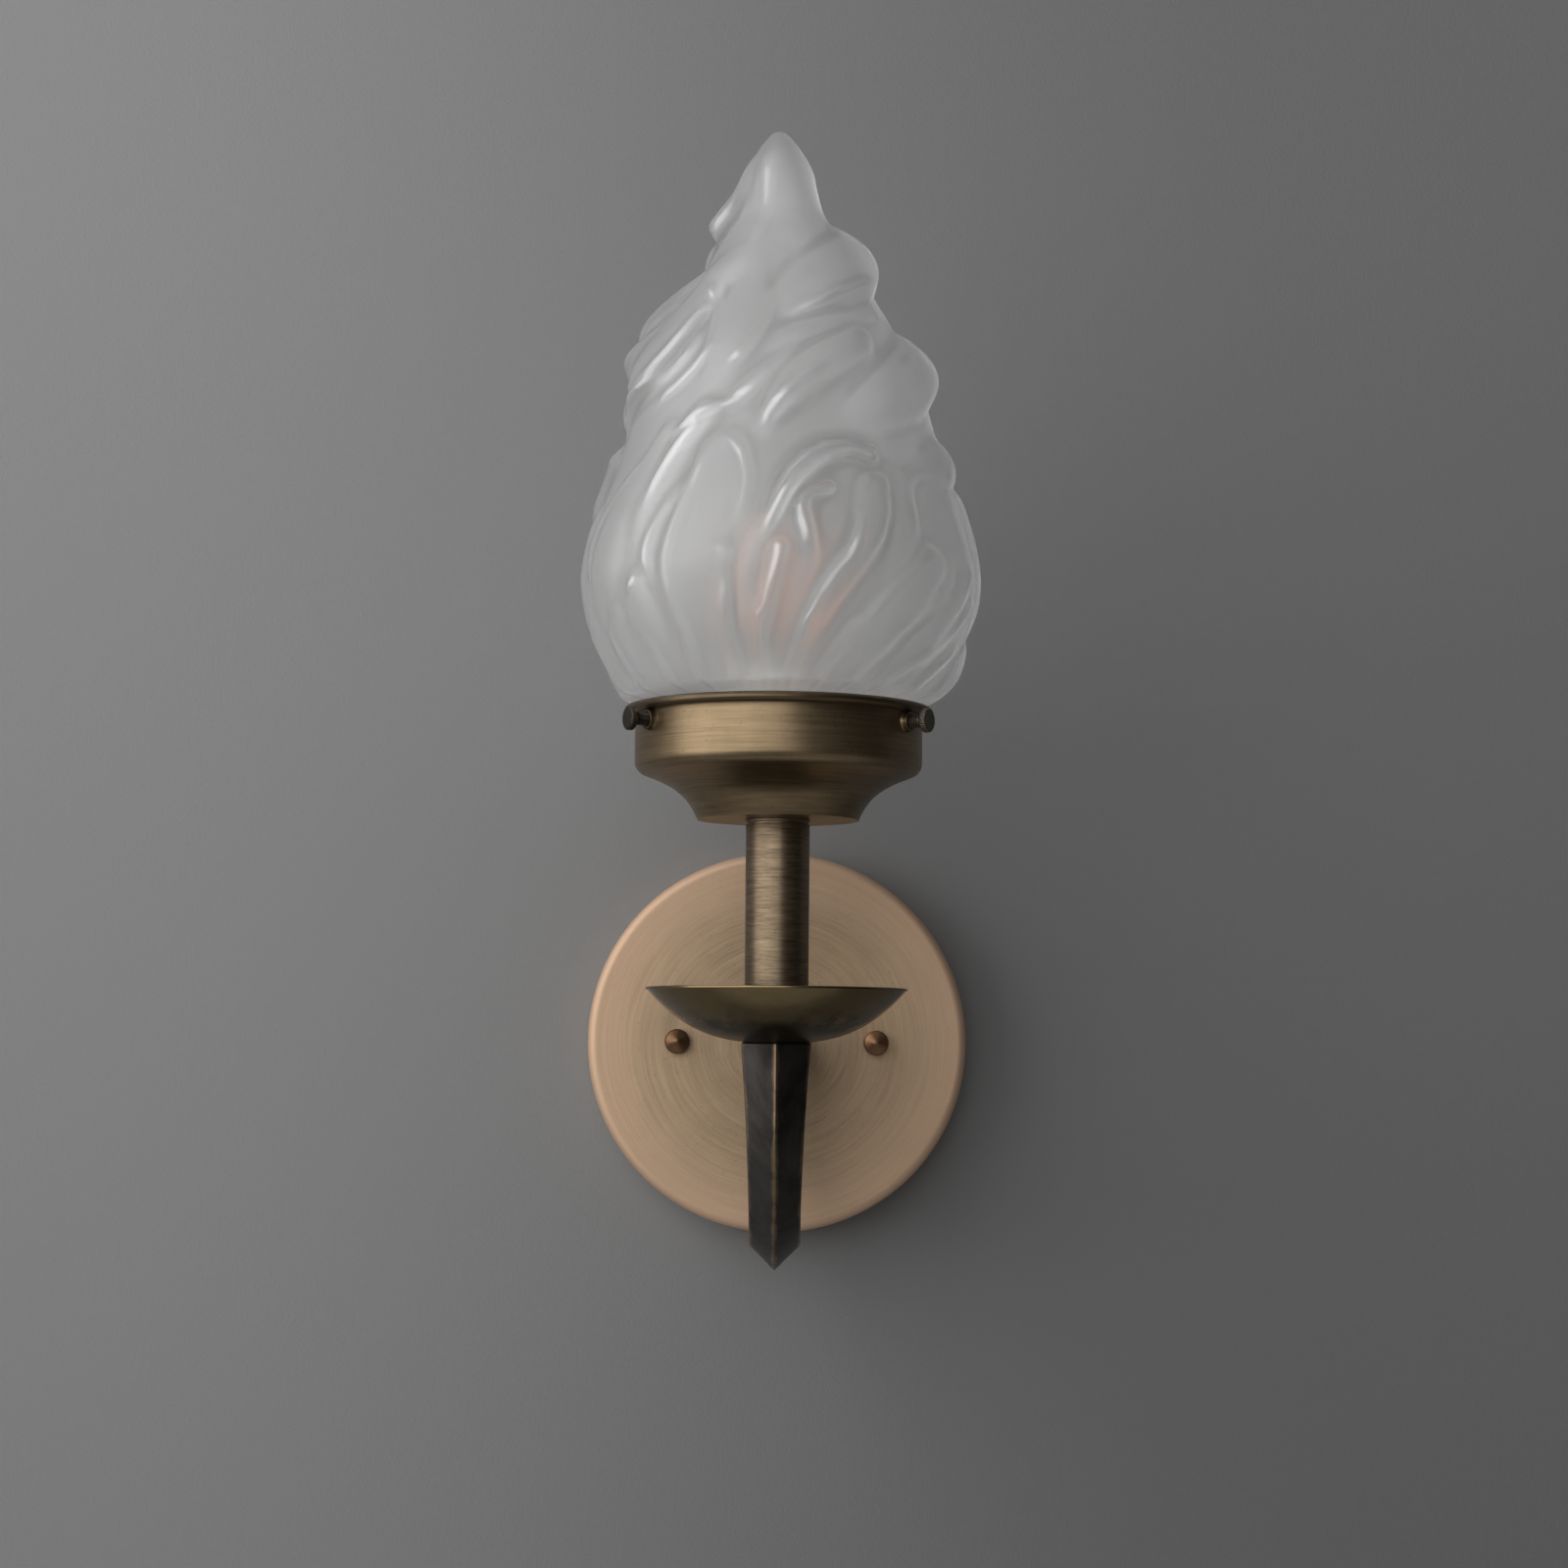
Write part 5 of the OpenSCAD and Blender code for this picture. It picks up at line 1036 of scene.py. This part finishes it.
def along(points, share, turn, azimuth, h, reach):
    """Distance to a line through four points, the place along it and the side of it, for one run of rings."""
    t = np.linspace(0, 1, PATH_STEPS + 1)[:, None]
    a, b, c = t - 1 / 3, t - 2 / 3, t - 1
    p = np.array(points, float) * (share, 1) + (turn, 0)
    path = (-4.5 * a * b * c * p[0] + 13.5 * t * b * c * p[1]
            - 13.5 * t * a * c * p[2] + 4.5 * t * a * b * p[3])
    mid = path[:, 0].mean()
    px, py = np.radians(path[:, 0] - mid) * form_radius(path[:, 1]), path[:, 1]
    rows = np.nonzero((h[:, 0] > py.min() - reach) & (h[:, 0] < py.max() + reach))[0]
    rows = slice(rows[0], rows[-1] + 1)
    y = h[rows]
    x = np.radians((azimuth - mid + 180) % 360 - 180) * form_radius(y)
    near = np.full(x.shape, 1e9)
    place, side = np.zeros_like(x), np.zeros_like(x)
    for i in range(PATH_STEPS):
        dx, dy = px[i + 1] - px[i], py[i + 1] - py[i]
        k = np.clip(((x - px[i]) * dx + (y - py[i]) * dy) / (dx * dx + dy * dy), 0, 1)
        gap = np.hypot(x - px[i] - k * dx, y - py[i] - k * dy)
        closer = gap < near
        near = np.where(closer, gap, near)
        place = np.where(closer, (i + k) / PATH_STEPS, place)
        cross = ((x - px[i]) * dy - (y - py[i]) * dx) / math.hypot(dx, dy) / np.maximum(gap, 0.01)
        side = np.where(closer, np.clip(cross, -1, 1), side)
    return rows, near, place, side


def add_tongue(out, p, share, turn, size, azimuth, h):
    """Lay one tongue over the relief."""
    width, lift, crisp_side, hollow, taper, foot, fall = p[4:11]
    width, lift = width * size, lift * size
    rows, near, t, side = along(p[:4], share, turn, azimuth, h, 1.6 * width)
    half = width * (foot + (1 - foot) * ease(0, 0.6, t)) * (1 - taper * ease(0.5, 1, t))
    u = near / half
    crisp = 0.5 + 0.5 * crisp_side * (1 - ease(0.8, 1, t)) * side
    skirt = 1.6 - 0.55 * crisp
    bump = np.clip(1 - (u / skirt) ** 2, 0, 1) ** (2.4 - 1.6 * crisp)
    bump = bump * (1 - hollow * np.clip(1 - u * u, 0, 1) ** 2)
    bump = bump * lift * ease(-0.02, 0.45, t) * (1 - fall * ease(0.45, 1, t))
    d = np.clip(0.5 + 0.5 * (bump - out[rows]) / OVERLAP, 0, 1)
    out[rows] = out[rows] * (1 - d) + bump * d + OVERLAP * d * (1 - d)


def add_crest(out, p, share, turn, azimuth, h):
    """Raise one fine crest on the relief."""
    width, height, crisp_side = p[4:7]
    rows, near, t, side = along(p[:4], share, turn, azimuth, h, 2 * width)
    u = near / width / (1.25 - 0.4 * crisp_side * side)
    out[rows] += height * ease(0, 0.3, t) * (1 - ease(0.75, 1, t)) * np.clip(1 - u * u, 0, 1) ** 1.6


def flame_relief(azimuth, h, fine):
    """Height of the pressed relief over the plain flame."""
    swirl = azimuth - np.interp(h, FLAME_SWIRL[:, 0], FLAME_SWIRL[:, 1])
    out = 1 + 0.5 * np.sin(np.radians(9 * swirl)) + 0.35 * np.sin(np.radians(14 * swirl + 40))
    for p in TONGUES:
        add_tongue(out, p, 1, 0, 1, azimuth, h)
    for p in TONGUES:
        if p[11] > 0:
            add_tongue(out, p, p[11], 180, 0.9, azimuth, h)
    if fine:
        for p in CRESTS:
            add_crest(out, p, 1, 0, azimuth, h)
            add_crest(out, p, CREST_BACK_SHARE, 180, azimuth, h)
    return out


def softened(grid, step, blur, radius):
    """The grid blurred by a length in millimetres, down its rings and round them."""
    n = max(1, int(3 * blur / step))
    kernel = np.exp(-0.5 * (np.arange(-n, n + 1) * step / blur) ** 2)
    kernel /= kernel.sum()
    padded = np.pad(grid, ((n, n), (0, 0)), mode="edge")
    grid = sum(kernel[i] * padded[i:i + len(grid)] for i in range(2 * n + 1))
    waves = np.fft.rfft(grid, axis=1)
    count = np.arange(waves.shape[1])
    waves *= np.exp(-0.5 * (count[None, :] * (blur / np.maximum(radius, 4.0))[:, None]) ** 2)
    return np.fft.irfft(waves, n=grid.shape[1], axis=1)


def pressed(azimuth, h, blur, fine):
    """The relief on a grid of heights and azimuths, softened."""
    return softened(flame_relief(azimuth[None, :], h[:, None], fine), h[1], blur, form_radius(h) + 4)


def flame_rings(neck, radii, azimuth, heights, stretch, tip_h, tip_z):
    """Rings of points up a neck of radius and height pairs and up the flame to its tip, in one array."""
    a = np.radians(azimuth)
    rows = [(r, z, 0.0) for r, z in neck] + [(r, NECK_TOP + stretch * h, lean(h)) for r, h in zip(radii, heights)]
    rings = [np.stack([r * np.sin(a) + shift, -r * np.cos(a) - REACH, np.full(len(a), z)], 1) for r, z, shift in rows]
    return np.vstack(rings + [[[lean(tip_h), -REACH, tip_z]]]), len(rings)


class SCONCE_OT_flame(bpy.types.Operator):
    """Build the pressed glass flame with its tongues and its plain neck"""

    bl_idname = "sconce.flame"
    bl_label = "Glass flame"

    def execute(self, context):
        s = sizes()
        wall, kz, kr = s["glass_wall"], s["flame_height"] / FORM_H, s["flame_diameter"] / FORM_D
        # outside: the neck, then the relief over the plain body
        around, azimuth = 400, np.arange(400) * 360.0 / 400
        h = np.linspace(0, FORM_H, 341)[:-1]
        relief = pressed(azimuth, h, s["glass_blur"], True)
        detail = relief - softened(relief, h[1], 2.6, form_radius(h) + 4)
        fade = ease(-1, 5, h) * (1 - ease(FORM_H - 16, FORM_H, h))
        outer = kr * (form_radius(h)[:, None] + (relief - 0.6) * fade[:, None])
        outer = NECK_R + (outer - NECK_R) * ease(0, SHOULDER_H, h)[:, None]
        neck = [(NECK_R - 0.5, NECK_LOW), (NECK_R - 0.12, NECK_LOW + 0.15), (NECK_R, NECK_LOW + 0.6)]
        neck += line((NECK_R, NECK_LOW + 3), (NECK_R, NECK_TOP - 0.5), 6)
        outside, n_out = flame_rings(neck, outer, azimuth, h, kz, FORM_H, NECK_TOP + s["flame_height"])
        # inside: the same with softer relief, one wall further in
        thin, az_in, top_in = 200, azimuth[::2], FORM_H - 2.2 * wall
        h_in = np.linspace(0, top_in, 131)[:-1]
        soft = pressed(az_in, h_in, 3.0, False)
        fade_in = ease(6, 20, h_in) * (1 - ease(FORM_H - 36, FORM_H - 12, h_in))
        plain_in = np.minimum(form_radius(h_in), form_radius(np.minimum(FORM_H, h_in + wall)))
        inner = kr * (plain_in[:, None] + 0.45 * (soft - 0.6) * fade_in[:, None])
        inner = np.maximum(1.0, NECK_R + (inner - NECK_R) * ease(0, SHOULDER_H, h_in)[:, None] - wall)
        low = NECK_R - wall
        neck_in = [(low + 0.5, NECK_LOW), (low + 0.12, NECK_LOW + 0.15), (low, NECK_LOW + 0.6), (low, NECK_TOP - 0.5)]
        inside, n_in = flame_rings(neck_in, inner, az_in, h_in, kz, top_in,
                                   NECK_TOP + s["flame_height"] - kz * 2.2 * wall)
        base = len(outside)
        faces = strips(n_out, around, False)
        last = (n_out - 1) * around
        faces += [(last + j, last + (j + 1) % around, base - 1) for j in range(around)]
        faces += [tuple(base + i for i in f[::-1]) for f in strips(n_in, thin, False)]
        last = base + (n_in - 1) * thin
        faces += [(last + (j + 1) % thin, last + j, base + len(inside) - 1) for j in range(thin)]
        for j in range(thin):
            k = (j + 1) % thin
            faces += [(base + j, 2 * j + 1, 2 * j), (base + j, base + k, 2 * j + 1),
                      (base + k, (2 * j + 2) % around, 2 * j + 1)]

        def marked(values, at_neck, at_tip, within):
            return np.concatenate([np.full(len(neck) * around, at_neck), values.ravel(), [at_tip],
                                   np.full(len(inside), within)])
        # the crest mark drives the glass's gloss and also its painted highlight and painted shade
        flame = add_piece("glass_flame", (np.vstack([outside, inside]), faces), "frosted_flame", "flame_shade",
                          body="shade", sharp=180.0, relief=marked(np.clip(relief / 8.0, 0, 1), 0.35, 0.2, 0.3),
                          crest=marked(0.5 + 0.5 * np.clip(detail / 0.9, -1, 1), 0.5, 0.5, 0.5))
        flame.visible_shadow = False  # frosted glass passes its light on
        return {"FINISHED"}


class SCONCE_OT_lamp_holder(bpy.types.Operator):
    """Build the lamp holder with its rolled screw shell, and the threaded pipe and nut that hold it"""

    bl_idname = "sconce.lamp_holder"
    bl_label = "Lamp holder"

    def execute(self, context):
        body = rounded([(14.0, 88.8), (1.7, 88.8), (1.7, 82.8, 0.2), (19.4, 82.8, 0.5), (19.4, 86.0),
                        (19.4, 113.4, 0.6), (18.4, 114.4, 0.5), (14.6, 114.4, 0.5), (14.0, 113.6, 0.2)], 5)
        add_turned("porcelain_body", body, 128, ON_AXIS, "glaze_white", "socket_body")
        shell = line((13.8, 112.4), (13.8, 89.0), 90) + line((13.38, 89.0), (13.38, 112.4), 90)

        def rolled(angle, h, r):
            return -0.35 * rolled_wave(angle, h) * (r > 13.6) * ease(91, 94, h) * (1 - ease(108, 111, h))
        add_turned("rolled_shell", shell, 128, ON_AXIS, "brass_bright", "socket_screw_shell", relief=rolled)
        cap = rounded([(HOLE_R, HOLDER_CAP_Z), (8.1, HOLDER_CAP_Z, 0.5), (8.15, 77.6, 0.6), (19.2, 78.1, 1.6),
                       (20.3, 79.6, 0.8), (20.3, 85.9), (20.35, 86.7, 0.2), (19.55, 86.7, 0.15), (19.5, 79.6, 0.8),
                       (18.9, 78.9, 0.5), (HOLE_R, 78.8)], 6)
        add_turned("holder_cap", cap, 128, ON_AXIS, "brass_raw", "socket_cap")
        foot, top = -10.95, 78.35
        pipe = line((PIPE_BORE, top), (PIPE_BORE, foot), 6) + threaded(foot, 0.5, PIPE_PITCH, PIPE_R)
        pipe += threaded(62, top, PIPE_PITCH, PIPE_R)
        low = screw_thread(PIPE_PITCH, 0.45, -11.5, 0.3, core=5)
        high = screw_thread(PIPE_PITCH, 0.45, 62.2, 79.5, core=5)
        add_turned("threaded_pipe", pipe, 96, ON_AXIS, "brass_raw", "lamp_pipe", sharp=50.0,
                   relief=lambda *at: low(*at) + high(*at))
        add_piece("pipe_hexagon", moved(hexagon(14.3, 5.2, 72.0, 75.2), ON_AXIS), "zinc_plate", "pipe_nut",
                  sharp=20.0)
        dress("zinc_plate", "pipe_washer")
        dress("brass_bright", "socket_contact", "socket_terminals")
        return {"FINISHED"}


class SCONCE_OT_bulb(bpy.types.Operator):
    """Build the globe bulb with its screw cap, glass stem and six filaments"""

    bl_idname = "sconce.bulb"
    bl_label = "Bulb"

    def execute(self, context):
        r = sizes()["bulb_diameter"] / 2
        cap = [(11.4, 5.6), (11.4, 5.0), (12.1, 5.0), (12.6, 5.2)] + line((13.0, 5.4), (13.0, 23.0), 110)
        cap += [(12.9, 23.6), (12.6, 24.1), (13.2, 24.7), (13.3, 25.2), (13.3, 25.95), (11.7, 25.95), (11.65, 25.5)]

        def rolled(angle, h, radius):
            low = ease(5.0, 7.0, h) * (1 - ease(21.0, 23.2, h))
            cut = -0.75 * (rolled_wave(angle, h) * low + 1 - low)
            return cut * (radius > 12.95) * (h > 5.3) * (h < 23.1)
        add_turned("bulb_screw_cap", cap, 128, ON_BULB, "bulb_cap", "bulb_base", relief=rolled, body="bulb",
                   sharp=60.0)
        black = rounded([(0, 1.5), (5.0, 1.5, 0.4), (7.5, 2.0, 0.8), (11.5, 4.6, 0.6), (11.4, 5.0), (0, 5.0)], 5)
        add_turned("bulb_black_glass", black, 96, ON_BULB, "bulb_black", "bulb_insulator", body="bulb")
        foot = rounded([(0, 0), (2.4, 0.0, 1.2), (4.2, 0.75, 0.5), (4.4, 1.5, 0.1), (0, 1.5)], 6)
        add_turned("bulb_foot_button", foot, 64, ON_BULB, "bulb_cap", "bulb_contact", body="bulb_foot")
        globe, join, wall = BULB_H - r, math.radians(20), 0.8
        stop = np.array((r * math.cos(join), globe - r * math.sin(join)))
        glass = bezier(np.array((13.3, BULB_JOIN)), np.array((13.7, BULB_JOIN + 13)),
                       stop - 12 * np.array((math.sin(join), math.cos(join))), stop, 30)
        glass += arc((0, globe), r, -20, 88, 48)[1:]
        inside = [p for p in beside(glass, wall) if p[0] > 0.9]
        outline = [(0.0, BULB_H)] + glass[::-1] + inside + [(0.0, BULB_H - wall)]
        add_turned("bulb_globe", outline, 128, ON_BULB, "bulb_clear", "bulb_envelope", body="bulb", sharp=60.0)
        stem = rounded([(0, 26.2), (11.3, 26.2, 0.3), (11.2, 27.6, 0.8), (8.0, 29.0, 2.0), (3.4, 38.0, 3.0),
                        (2.4, 44.0, 1.2), (1.5, 45.2, 0.5), (1.5, 60), (1.5, 73.4, 0.4), (0.6, 74, 0.2),
                        (0, 74.0)], 6)
        add_turned("bulb_glass_stem", stem, 64, ON_BULB, "bulb_clear", "bulb_stem", body="bulb", sharp=60.0)
        bars, wires = [], []
        tilt, half, mid = math.radians(6), 17.0, np.array((8.5, 0, 55.0))
        way = np.array((math.sin(tilt), 0, math.cos(tilt)))
        ends = np.array([0.0, 0.1, 0.3, 0.6])
        steps = np.concatenate([-half + ends, np.linspace(-half + 0.9, half - 0.9, 20), half - ends[::-1]])
        bar = swept([mid + way * t for t in steps], 0.9, 20, 0.9)
        for i in range(6):
            place = ON_BULB @ Matrix.Rotation(TAU * (i + 0.5) / 6, 4, "Z")
            bars.append(moved(bar, place))
            for start, end, rise in (((1.2, 0, 72.5), mid + way * (half + 0.1), 0.5),
                                     ((2.1, 0, 42.5), mid - way * (half + 0.1), -0.5)):
                knee = np.array(start) * 0.35 + end * 0.65 + np.array((0, 0, rise))
                path = smooth_path([start, knee, end, end + (mid - end) * 0.02], 0.8)
                wires.append(moved(swept(path, 0.3, 12), place))
        add_piece("bulb_coated_bars", merged(*bars), "filament_coat", "bulb_filaments", body="bulb")
        add_piece("bulb_support_wires", merged(*wires), "brass_bright", "filament_wires", body="bulb")
        return {"FINISHED"}


class SCONCE_OT_wiring(bpy.types.Operator):
    """Build the leads, connectors, studs and nuts behind the plate and inside the arm"""

    bl_idname = "sconce.wiring"
    bl_label = "Wiring and fixings"

    def execute(self, context):
        paths = {"ground": [(19, -5.95, 2), (19, -5.95, -3), (19.5, -5.95, -8), (22, -5.95, -13),
                            (25.5, -6.75, -17), (28, -9, -20), (28, -9, -26)]}
        entry, foot = 78.8, 8
        for side, name in ((-1, "black"), (1, "white")):
            x, start = side * 1.15, entry - 1.5
            path = [(side * a, -REACH, entry + b)
                    for a, b in ((6.9, 2.9), (5.2, 2.9), (3.4, 2.5), (2.2, 1.6), (1.5, 0.4))]
            path += [(x, -REACH, start + (foot - start) * i / 5) for i in range(6)]
            path += [(x, y, z) for s, y, z, way in arm_stations(60)[::-1]] + [(x, -13, 0)]
            path += [(side * a, b, c) for a, b, c in (
                (1.4, -11, -0.6), (2.4, -9.3, -2.6), (4, -9, -6), (6.5, -9, -11), (9, -9, -16),
                (10, -9, -20), (10, -9, -26))]
            paths[name] = path
        for name, look in (("black", "wire_black"), ("white", "wire_white"), ("ground", "wire_green")):
            add_piece(f"lead_{name}_insulated", swept(smooth_path(paths[name]), 0.9, 20), look, f"lead_{name}")
        outline = [(0.0, 8.0), (0.9, 8.0), (0.95, 0.3), (1.3, 0.02)] + line((4.7, 0.0), (5.0, 0.4), 2)
        outline += line((5.0, 1.0), (5.0, 5.0), 3) + line((5.0, 5.0), (3.1, 19.2), 10, 1)
        outline += [(2.7, 19.85), (0.0, 20.0)]

        def ribs(angle, h, r):
            fade = ease(1.0, 2.5, h) * (1 - ease(18.6, 19.3, h)) * (r > 2.9)
            return -0.3 * (0.5 + 0.5 * np.cos(14 * angle)) * fade
        upside_down = Matrix.Rotation(math.pi, 4, "X")
        nuts = [moved(turned(outline, 168, ribs), Matrix.Translation((x, -9, -21)) @ upside_down)
                for x in (-10, 10, 28)]
        add_piece("twist_connectors", merged(*nuts), "connector_orange", "wire_connectors", sharp=50.0)
        stud = [(0.0, 0.02), (1.75, 0.02), (SCREW_R, 0.35)] + threaded(0.5, 25.0, SCREW_PITCH, SCREW_R)
        stud = turned(stud + [(1.8, 25.48), (0.0, 25.5)], 64, screw_thread(SCREW_PITCH, 0.4, 0.3, 25.3))
        add_piece("threaded_studs", merged(*[moved(stud, off_wall(x)) for x in (-NUT_X, NUT_X)]), "zinc_plate",
                  "canopy_studs", sharp=50.0)
        nut = hexagon(8.73, 2.135, 2.0, 5.0, 0.4)
        add_piece("lock_nuts", merged(*[moved(nut, off_wall(x)) for x in (-NUT_X, NUT_X)]), "zinc_plate",
                  "stud_lock_nuts", sharp=20.0)
        back, front = 13.55, 37.95
        nipple = line((PIPE_BORE, front), (PIPE_BORE, back), 4) + threaded(back, front, PIPE_PITCH, PIPE_R)
        add_turned("threaded_nipple", nipple, 96, OFF_WALL, "brass_raw", "arm_nipple", sharp=50.0,
                   relief=screw_thread(PIPE_PITCH, 0.45, 13.0, 38.5, core=5))
        add_piece("nipple_hexagon", moved(hexagon(14.3, 5.2, 16.6, 19.8), OFF_WALL), "zinc_plate", "nipple_nut",
                  sharp=20.0)
        head = rounded([(0, 0), (2.41, 0, 0.1), (2.41, 2.0), (4.5, 2.0, 0.2), (4.5, 3.6, 0.7), (3.6, 4.9, 0.6),
                        (1.4, 5.0, 0.2), (0, 4.7)], 5)
        add_turned("ground_pan_screw", head, 96, off_wall(19), "green_plate", "ground_screw")
        dress("zinc_plate", "wall_bracket", "nipple_washer")
        return {"FINISHED"}


# ---------- stage, in metres ----------

OPENING_R = 0.06                     # of the wall box behind the plate
FLOOR_Z = -1.5
AIM = (0, -0.08, 0.1)                # what both lights point at
KEY_PLACE, KEY_WIDTH = (-1.0, -0.8, 0.5), 1.5
FRONT_PLACE, FRONT_WIDTH = (-0.35, -2.4, 0.55), 1.6
BRIGHT_SIDE = Vector((-0.7, -0.35, 0.55)).normalized()
DARK, BRIGHT = (0.015,) * 3, (0.42,) * 3
CAMERA_PLACE = (0.002, -1.0638, -0.001)
CAMERA_TILT, CAMERA_ROLL = math.radians(90 + 3.84), math.radians(0.483)
CAMERA_LENS, CAMERA_SHIFT = 67.86, 0.04


def stage_material(name, colour, is_wall):
    """A plain matt surface with a faint unevenness. A wall has painted shade, darker to the right and downwards like
    a key light's falloff, and shows only its front.
    """
    f = Finish(name, Roughness=0.9, Specular_IOR_Level=0.2)
    base = f.blend(f.noise(f.place(), 1.3, 2.0, 0.4), shade(colour, 0.985), shade(colour, 1.015))
    if is_wall:
        x, y, z = f.place().parts()
        # painted shade: the wall darkens to the right and downwards like a key light's falloff
        painted_falloff = x.over(-0.25, 0.2) * 0.7 + (0 - z).over(-0.3, 0.5, smooth=False) * 0.5
        base = f.blend(painted_falloff, base, shade(colour, 0.55))
        f.bump(f.noise(f.place(), 900.0, 2.0, 0.6), 0.0004, 0.4)
        back = f.node("ShaderNodeNewGeometry", {}, out="Backfacing")
        clear = f.node("ShaderNodeBsdfTransparent", {})
        f.feed(f.output.inputs["Surface"], f.node("ShaderNodeMixShader", {}, back, f.bsdf, clear))
    f.set("Base Color", base)
    return f.material


def add_light(name, place, width, power):
    lamp = bpy.data.lights.new(name, "AREA")
    lamp.shape = "SQUARE"
    lamp.size, lamp.energy = width, power
    thing = bpy.data.objects.new(name, lamp)
    thing.location = place
    thing.rotation_euler = (Vector(AIM) - Vector(place)).to_track_quat("-Z", "Y").to_euler()
    bpy.context.scene.collection.objects.link(thing)


class SCONCE_OT_stage(bpy.types.Operator):
    """Set the wall, floor, soft lights and camera"""

    bl_idname = "sconce.stage"
    bl_label = "Stage"

    def execute(self, context):
        scene = context.scene
        stage = scene.sconce_stage
        # the wall has a round opening behind the plate, where a wall box would be
        sides = 96
        angle = np.arange(sides) * TAU / sides
        rings = [np.stack([r * np.cos(angle), np.zeros(sides), r * np.sin(angle)], 1)
                 for r in (OPENING_R, 0.2, 1.0, 4.0)]
        wall = np.vstack(rings), [face[::-1] for face in strips(len(rings), sides, False)]
        floor = np.array([(-4, -4, FLOOR_Z), (4, -4, FLOOR_Z), (4, 4, FLOOR_Z), (-4, 4, FLOOR_Z)]), [(0, 1, 2, 3)]
        for name, (points, faces), colour in (("wall", wall, stage.wall), ("floor", floor, stage.floor)):
            mesh = bpy.data.meshes.new(name)
            mesh.from_pydata(points.tolist(), [], faces)
            mesh.materials.append(stage_material(f"{name}_paint", colour, name == "wall"))
            mesh.update()
            thing = bpy.data.objects.new(name, mesh)
            scene.collection.objects.link(thing)
        add_light("key", KEY_PLACE, KEY_WIDTH, stage.key_power)
        add_light("front", FRONT_PLACE, FRONT_WIDTH, stage.front_power)
        scene.world = bpy.data.worlds.new("room")
        scene.world.use_nodes = True
        tree = Tree(scene.world.node_tree)
        level = tree.place("Generated").dot(tuple(BRIGHT_SIDE)).over(-0.5, 1.0)
        background = tree.node("ShaderNodeBackground", {}, tree.blend(level * level, DARK, BRIGHT))
        tree.node("ShaderNodeOutputWorld", {}, background, out=None)
        camera = bpy.data.cameras.new("photo_view")
        camera.sensor_width = 36.0
        camera.lens = CAMERA_LENS
        camera.shift_y = CAMERA_SHIFT
        camera.clip_start = 0.05
        eye = bpy.data.objects.new("photo_view", camera)
        eye.matrix_world = (Matrix.Translation(CAMERA_PLACE) @ Matrix.Rotation(CAMERA_TILT, 4, "X")
                            @ Matrix.Rotation(CAMERA_ROLL, 4, "Z"))
        scene.collection.objects.link(eye)
        scene.camera = eye
        scene.view_settings.view_transform = "Standard"
        return {"FINISHED"}


PIECES = [SCONCE_OT_wall_plate, SCONCE_OT_arm, SCONCE_OT_dish, SCONCE_OT_tube, SCONCE_OT_cup,
          SCONCE_OT_thumb_screws, SCONCE_OT_flame, SCONCE_OT_lamp_holder, SCONCE_OT_bulb, SCONCE_OT_wiring,
          SCONCE_OT_stage]


class SCONCE_PT_panel(bpy.types.Panel):
    """Lists the sconce's pieces, sizes, finishes and stage"""

    bl_idname = "SCONCE_PT_panel"
    bl_label = "Torch Sconce"
    bl_space_type = "VIEW_3D"
    bl_region_type = "UI"
    bl_category = "Sconce"

    def draw(self, context):
        layout = self.layout
        for operator in PIECES:
            layout.operator(operator.bl_idname)
        scene = context.scene
        for group in (scene.sconce_sizes, scene.sconce_finishes, scene.sconce_stage):
            box = layout.box()
            for name in type(group).__annotations__:
                box.prop(group, name)


CLASSES = [SconceSizes, SconceFinishes, SconceStage, *PIECES, SCONCE_PT_panel]


def register():
    for cls in CLASSES:
        bpy.utils.register_class(cls)
    bpy.types.Scene.sconce_sizes = PointerProperty(type=SconceSizes)
    bpy.types.Scene.sconce_finishes = PointerProperty(type=SconceFinishes)
    bpy.types.Scene.sconce_stage = PointerProperty(type=SconceStage)


def unregister():
    del bpy.types.Scene.sconce_stage
    del bpy.types.Scene.sconce_finishes
    del bpy.types.Scene.sconce_sizes
    for cls in reversed(CLASSES):
        bpy.utils.unregister_class(cls)


def main():
    """Builds every piece in order."""
    register()
    for operator in PIECES:
        group, name = operator.bl_idname.split(".")
        getattr(getattr(bpy.ops, group), name)()


if __name__ == "__main__":
    main()
